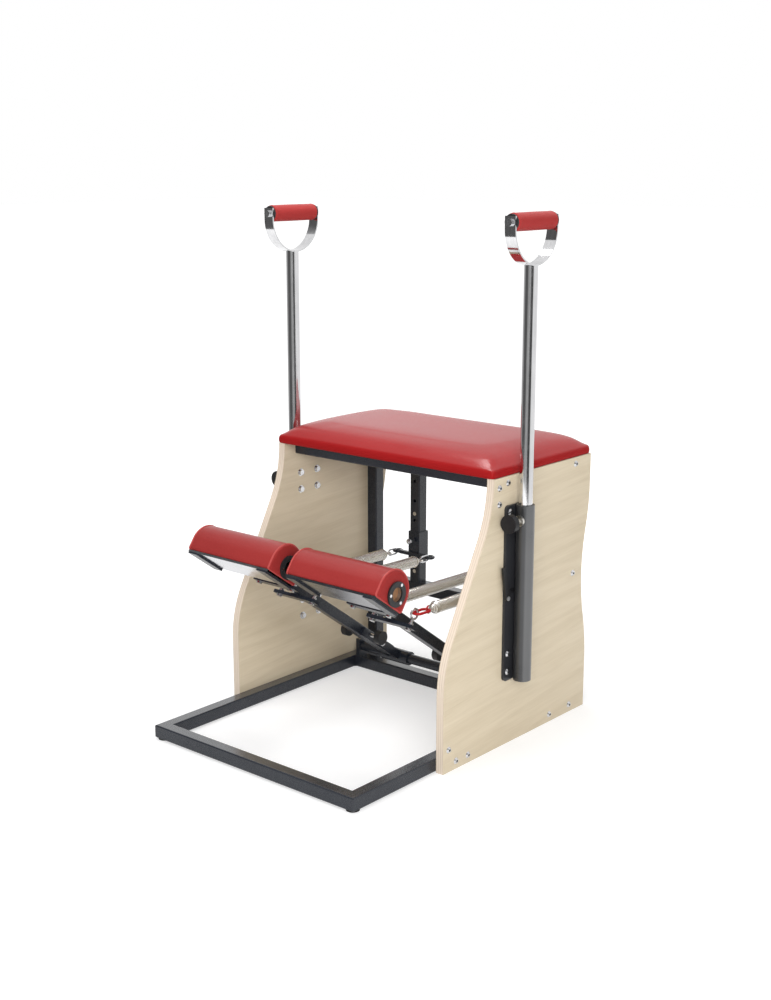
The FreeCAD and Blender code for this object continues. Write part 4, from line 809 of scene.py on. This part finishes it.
# %% [markdown]
# ## The pedals
#
# Each pedal is a half-round bolster on a flat board, with a steel tube through it and a sewn cap at each end.
# In the pedal's own directions, d along the arm and n square to it, the cover is a D: a half circle above
# and straight sides down to the board. The D is carried along the pedal, down the end caps to the tube, and
# back along the tube, so the grid closes both ways.

# %% Pedal directions
arm_tilt = math.radians(35.5)
hinge_y, hinge_z = pivots["right_pedal_press"][1:]
tube_reach, cover_reach = 0.622, 0.6285
cover_radius, cover_drop, foot_corner = 0.0495, 0.027, 0.004
outline_steps = 60


def from_arm(x, d, n):
    """A point given by its distance along the arm and its height square to the arm, in the chair's frame."""
    y = hinge_y - d * math.cos(arm_tilt) + n * math.sin(arm_tilt)
    z = hinge_z + d * math.sin(arm_tilt) + n * math.cos(arm_tilt)
    return np.stack(np.broadcast_arrays(x, y, z), axis=-1)


def half_round(count, radius, drop, corner):
    """The D as points (d, n): a half circle, straight sides, and a flat foot with rounded corners."""
    arc = np.linspace(0.0, np.pi, count)
    turn = np.linspace(0.0, np.pi / 2, 7)
    left_d = -radius + corner - corner * np.cos(turn)
    left_n = -drop + corner - corner * np.sin(turn)
    foot = np.linspace(-radius + corner, radius - corner, count // 2)[1:-1]
    d = np.concatenate([radius * np.cos(arc), left_d, foot, -left_d[::-1]])
    n = np.concatenate([radius * np.sin(arc), left_n, np.full_like(foot, -drop), left_n[::-1]])
    return even_steps(d, n, 2 * count)


print("pedals hinge at y", hinge_y, "and z", hinge_z)

# %% [markdown]
# The pedal's cover starts half a millimetre small and is then blown up. It is fixed on its flat foot, which is
# stapled to the board, and round the tube. Both are found by their place, so the pinned points need no
# painting.

# %% Pedal cushions
start_small, bore_radius, pedal_cell, pedal_cap = 0.0005, 0.0196, 0.005, 0.0015
foot_line, tube_line = -0.0235, 0.023


def pedal_points(middle, half, small):
    """The D along the pedal, drawn in to the tube's circle at one end, back along the tube and out again."""
    d, n = half_round(outline_steps, cover_radius - small, cover_drop, foot_corner)
    turn = np.arctan2(n, d + cover_reach - tube_reach)
    bore_d, bore_n = bore_radius * np.cos(turn) + tube_reach, bore_radius * np.sin(turn)
    d = d + cover_reach
    along = np.linspace(-1.0, 1.0, 40)
    inward = np.linspace(0.0, 1.0, 8)[1:-1]
    x = np.concatenate([along, np.ones_like(inward), along[::-1], -np.ones_like(inward)]) * (half - small)
    draw = np.concatenate([np.zeros_like(along), inward, np.ones_like(along), inward[::-1]])[:, None]
    return from_arm(middle + x[:, None], d * (1 - draw) + bore_d * draw, n * (1 - draw) + bore_n * draw)


def stapled(points):
    """True on the flat foot and round the tube: by the height square to the arm, or near the tube's axis."""
    y, z = points[:, 1] - hinge_y, points[:, 2] - hinge_z
    reach = -y * math.cos(arm_tilt) + z * math.sin(arm_tilt) - tube_reach
    height = y * math.sin(arm_tilt) + z * math.cos(arm_tilt)
    return (height < foot_line) | (np.hypot(reach, height) < tube_line)


pedals = {}
for side in SIDES:
    low, high = [np.array(corner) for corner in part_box(f"{side}_pedal_cushion")]
    middle, half = (low[0] + high[0]) / 2, (high[0] - low[0]) / 2
    pad = surface(f"{side}_pedal_pad", [pedal_points(middle, half, start_small)], (True, True), pedal_vinyl)
    padded(pad, pedal_cell, stapled, pedal_cap)
    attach(pad, f"{side}_pedal")
    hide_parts(f"{side}_pedal_cushion")
    pedals[side] = (middle, half)
print("pedal pads", pedals)

# %% [markdown]
# Where an end cap is sewn to the cover, a thin welt stands up round the D. It is a small circle carried along
# the outline: at each point of the outline the circle spans the outward direction and the pedal's length.

# %% Sewn welts
welt_radius, welt_inset, welt_sunk, welt_drop, welt_corner = 0.0022, 0.004, 0.0014, 0.0262, 0.005


def welt(middle, radius):
    """A ring of small circles along the D at one end of a pedal."""
    d, n = half_round(outline_steps, cover_radius - welt_sunk, welt_drop, welt_corner)
    slope = np.stack([np.roll(d, -1) - np.roll(d, 1), np.roll(n, -1) - np.roll(n, 1)])
    slope = slope / np.linalg.norm(slope, axis=0)
    out_d, out_n = slope[1], -slope[0]
    turn = np.linspace(0.0, 2.0 * np.pi, 8, endpoint=False)[None, :]
    wide, long = radius * np.cos(turn), radius * np.sin(turn)
    return from_arm(middle + long, (d + cover_reach)[:, None] + out_d[:, None] * wide,
                    n[:, None] + out_n[:, None] * wide)


for side in SIDES:
    middle, half = pedals[side]
    rings = [welt(middle + way * (half - welt_inset), welt_radius) for way in (-1, 1)]
    seam = surface(f"{side}_pedal_welts", rings, (True, True), lit_welt_vinyl)
    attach(seam, f"{side}_pedal")
print("welts of", len(SIDES), "pedals")

# %% [markdown]
# ## The grips
#
# A grip is a short tube of red vinyl over a core, with a fine welt near each end, and a black collar between
# it and the steel loop. Both are turned shapes: a closed profile of distance along the grip and radius,
# carried round the grip's axis.

# %% Turned shapes
grip_bore, grip_rim, sharp_angle, collar_gap = 0.006, 0.0026, 40.0, 0.0002
collar_ring = [(0.0, grip_bore), (0.0, 0.0168), (0.0006, 0.0174), (0.0028, 0.0174), (0.0034, 0.0168),
               (0.0034, grip_bore)]


def turned(profile, centre, count=64):
    """A closed profile of (along, radius) carried round a line in the Y direction through a point."""
    along, radius = np.array(profile, float).T
    turn = np.linspace(0.0, 2.0 * np.pi, count, endpoint=False)[None, :]
    x = centre[0] + radius[:, None] * np.cos(turn)
    z = centre[2] + radius[:, None] * np.sin(turn)
    y = np.broadcast_to(centre[1] + along[:, None], x.shape)
    return np.stack([x, y, z], axis=-1)


def grip_profile(half, radius, bore, round_off):
    """Bore, end face, rounded rim, a fine welt near each end, and a barely swelling middle."""
    share = np.linspace(-1.0, 1.0, 81)
    along = share * half
    inside = half - np.abs(along)
    arc = np.sqrt(np.clip(1.0 - (1.0 - inside / round_off) ** 2, 0.0, 1.0))
    rim = round_off * (1.0 - arc) * (inside < round_off)
    seam = 0.0005 * np.exp(-((inside - 0.0055) / 0.0011) ** 2)
    outer = radius - 0.0006 + 0.0004 * (1.0 - share ** 2) - rim + seam
    return [(-half, bore), *zip(along, outer), (half, bore)]


for side in SIDES:
    low, high = [np.array(corner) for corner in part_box(f"{side}_grip")]
    centre, half = (low + high) / 2, (high - low) / 2
    sleeve = turned(grip_profile(half[1], half[0], grip_bore, grip_rim), centre)
    grip = surface(f"{side}_grip_sleeve", [sleeve], (True, True), grip_vinyl, sharp_angle)
    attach(grip, f"{side}_grip")
    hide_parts(f"{side}_grip")
    ends = [[(way * (half[1] + collar_gap + a), r) for a, r in collar_ring] for way in (-1, 1)]
    collar = surface(f"{side}_grip_collars", [turned(end, centre) for end in ends], (True, True),
                     knob_plastic, sharp_angle)
    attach(collar, f"{side}_grip")
print("grips of half length", half[1])

# %% [markdown]
# ## The springs
#
# The four springs are wound close, with half a millimetre between the turns, and their last turns narrow over
# the plugs at both ends. The CAD model carries an open coil of few turns that says where each spring runs. We
# read its centre line from the imported mesh and wind a fine wire round it.

# %% Wind the springs
coil_radius, wire_radius, coil_pitch = 0.0135, 0.0020, 0.0046
plug_cone = (0.0145, 0.0144, 0.0042)


def centre_line(points):
    """Both ends of a coil's axis: the longest direction of its points, through their mean, pointing forward."""
    middle = points.mean(axis=0)
    along = np.linalg.svd(points - middle, full_matrices=False)[2][0]
    along = along * -np.sign(along[1])
    reach = (points - middle) @ along
    return middle + along * reach.min(), middle + along * reach.max()


def coil(start, end, radius, wire, pitch, cone, steps=20, sides=8):
    """A wire wound about a line: its centre runs round the line as it moves along it, and draws in over a cone
    of (length, wide radius, narrow radius) beyond either end."""
    length = np.linalg.norm(end - start)
    along = (end - start) / length
    across = np.array([1.0, 0.0, 0.0])
    up = np.cross(along, across)
    turns = int((length + 2.0 * cone[0]) / pitch)
    share = np.linspace(0.0, 1.0, turns * steps + 1)
    angle = 2.0 * np.pi * turns * share
    out = np.cos(angle)[:, None] * across + np.sin(angle)[:, None] * up
    place = share * (length + 2.0 * cone[0]) - cone[0]
    beyond = np.maximum(-place, place - length)
    plug = np.interp(beyond, (0.0, cone[0]), cone[1:])
    reach = np.where(beyond > 0.0, np.minimum(plug - 0.2 * wire, radius - wire), radius - wire)
    middle = start + along * place[:, None] + out * reach[:, None]
    around = np.linspace(0.0, 2.0 * np.pi, sides, endpoint=False)
    ends = np.where((share == 0.0) | (share == 1.0), 0.02, 1.0)[:, None, None]
    section = np.cos(around)[None, :, None] * out[:, None, :] + np.sin(around)[None, :, None] * along
    return middle[:, None, :] + wire * ends * section


for side in SIDES:
    cloud = positions(frame["nodes"][f"{side}_springs"].data)
    split = (cloud[:, 0].min() + cloud[:, 0].max()) / 2
    lines = [centre_line(cloud[keep]) for keep in (cloud[:, 0] < split, cloud[:, 0] > split)]
    length = np.linalg.norm(lines[0][1] - lines[0][0])
    coils = [coil(start, end, coil_radius, wire_radius, coil_pitch, plug_cone) for start, end in lines]
    wound = surface(f"{side}_wound_springs", coils, material=nickel)
    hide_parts(f"{side}_springs")
    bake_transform(wound)
    print(side, "springs", round(length * 1000, 1), "mm long between the plugs")
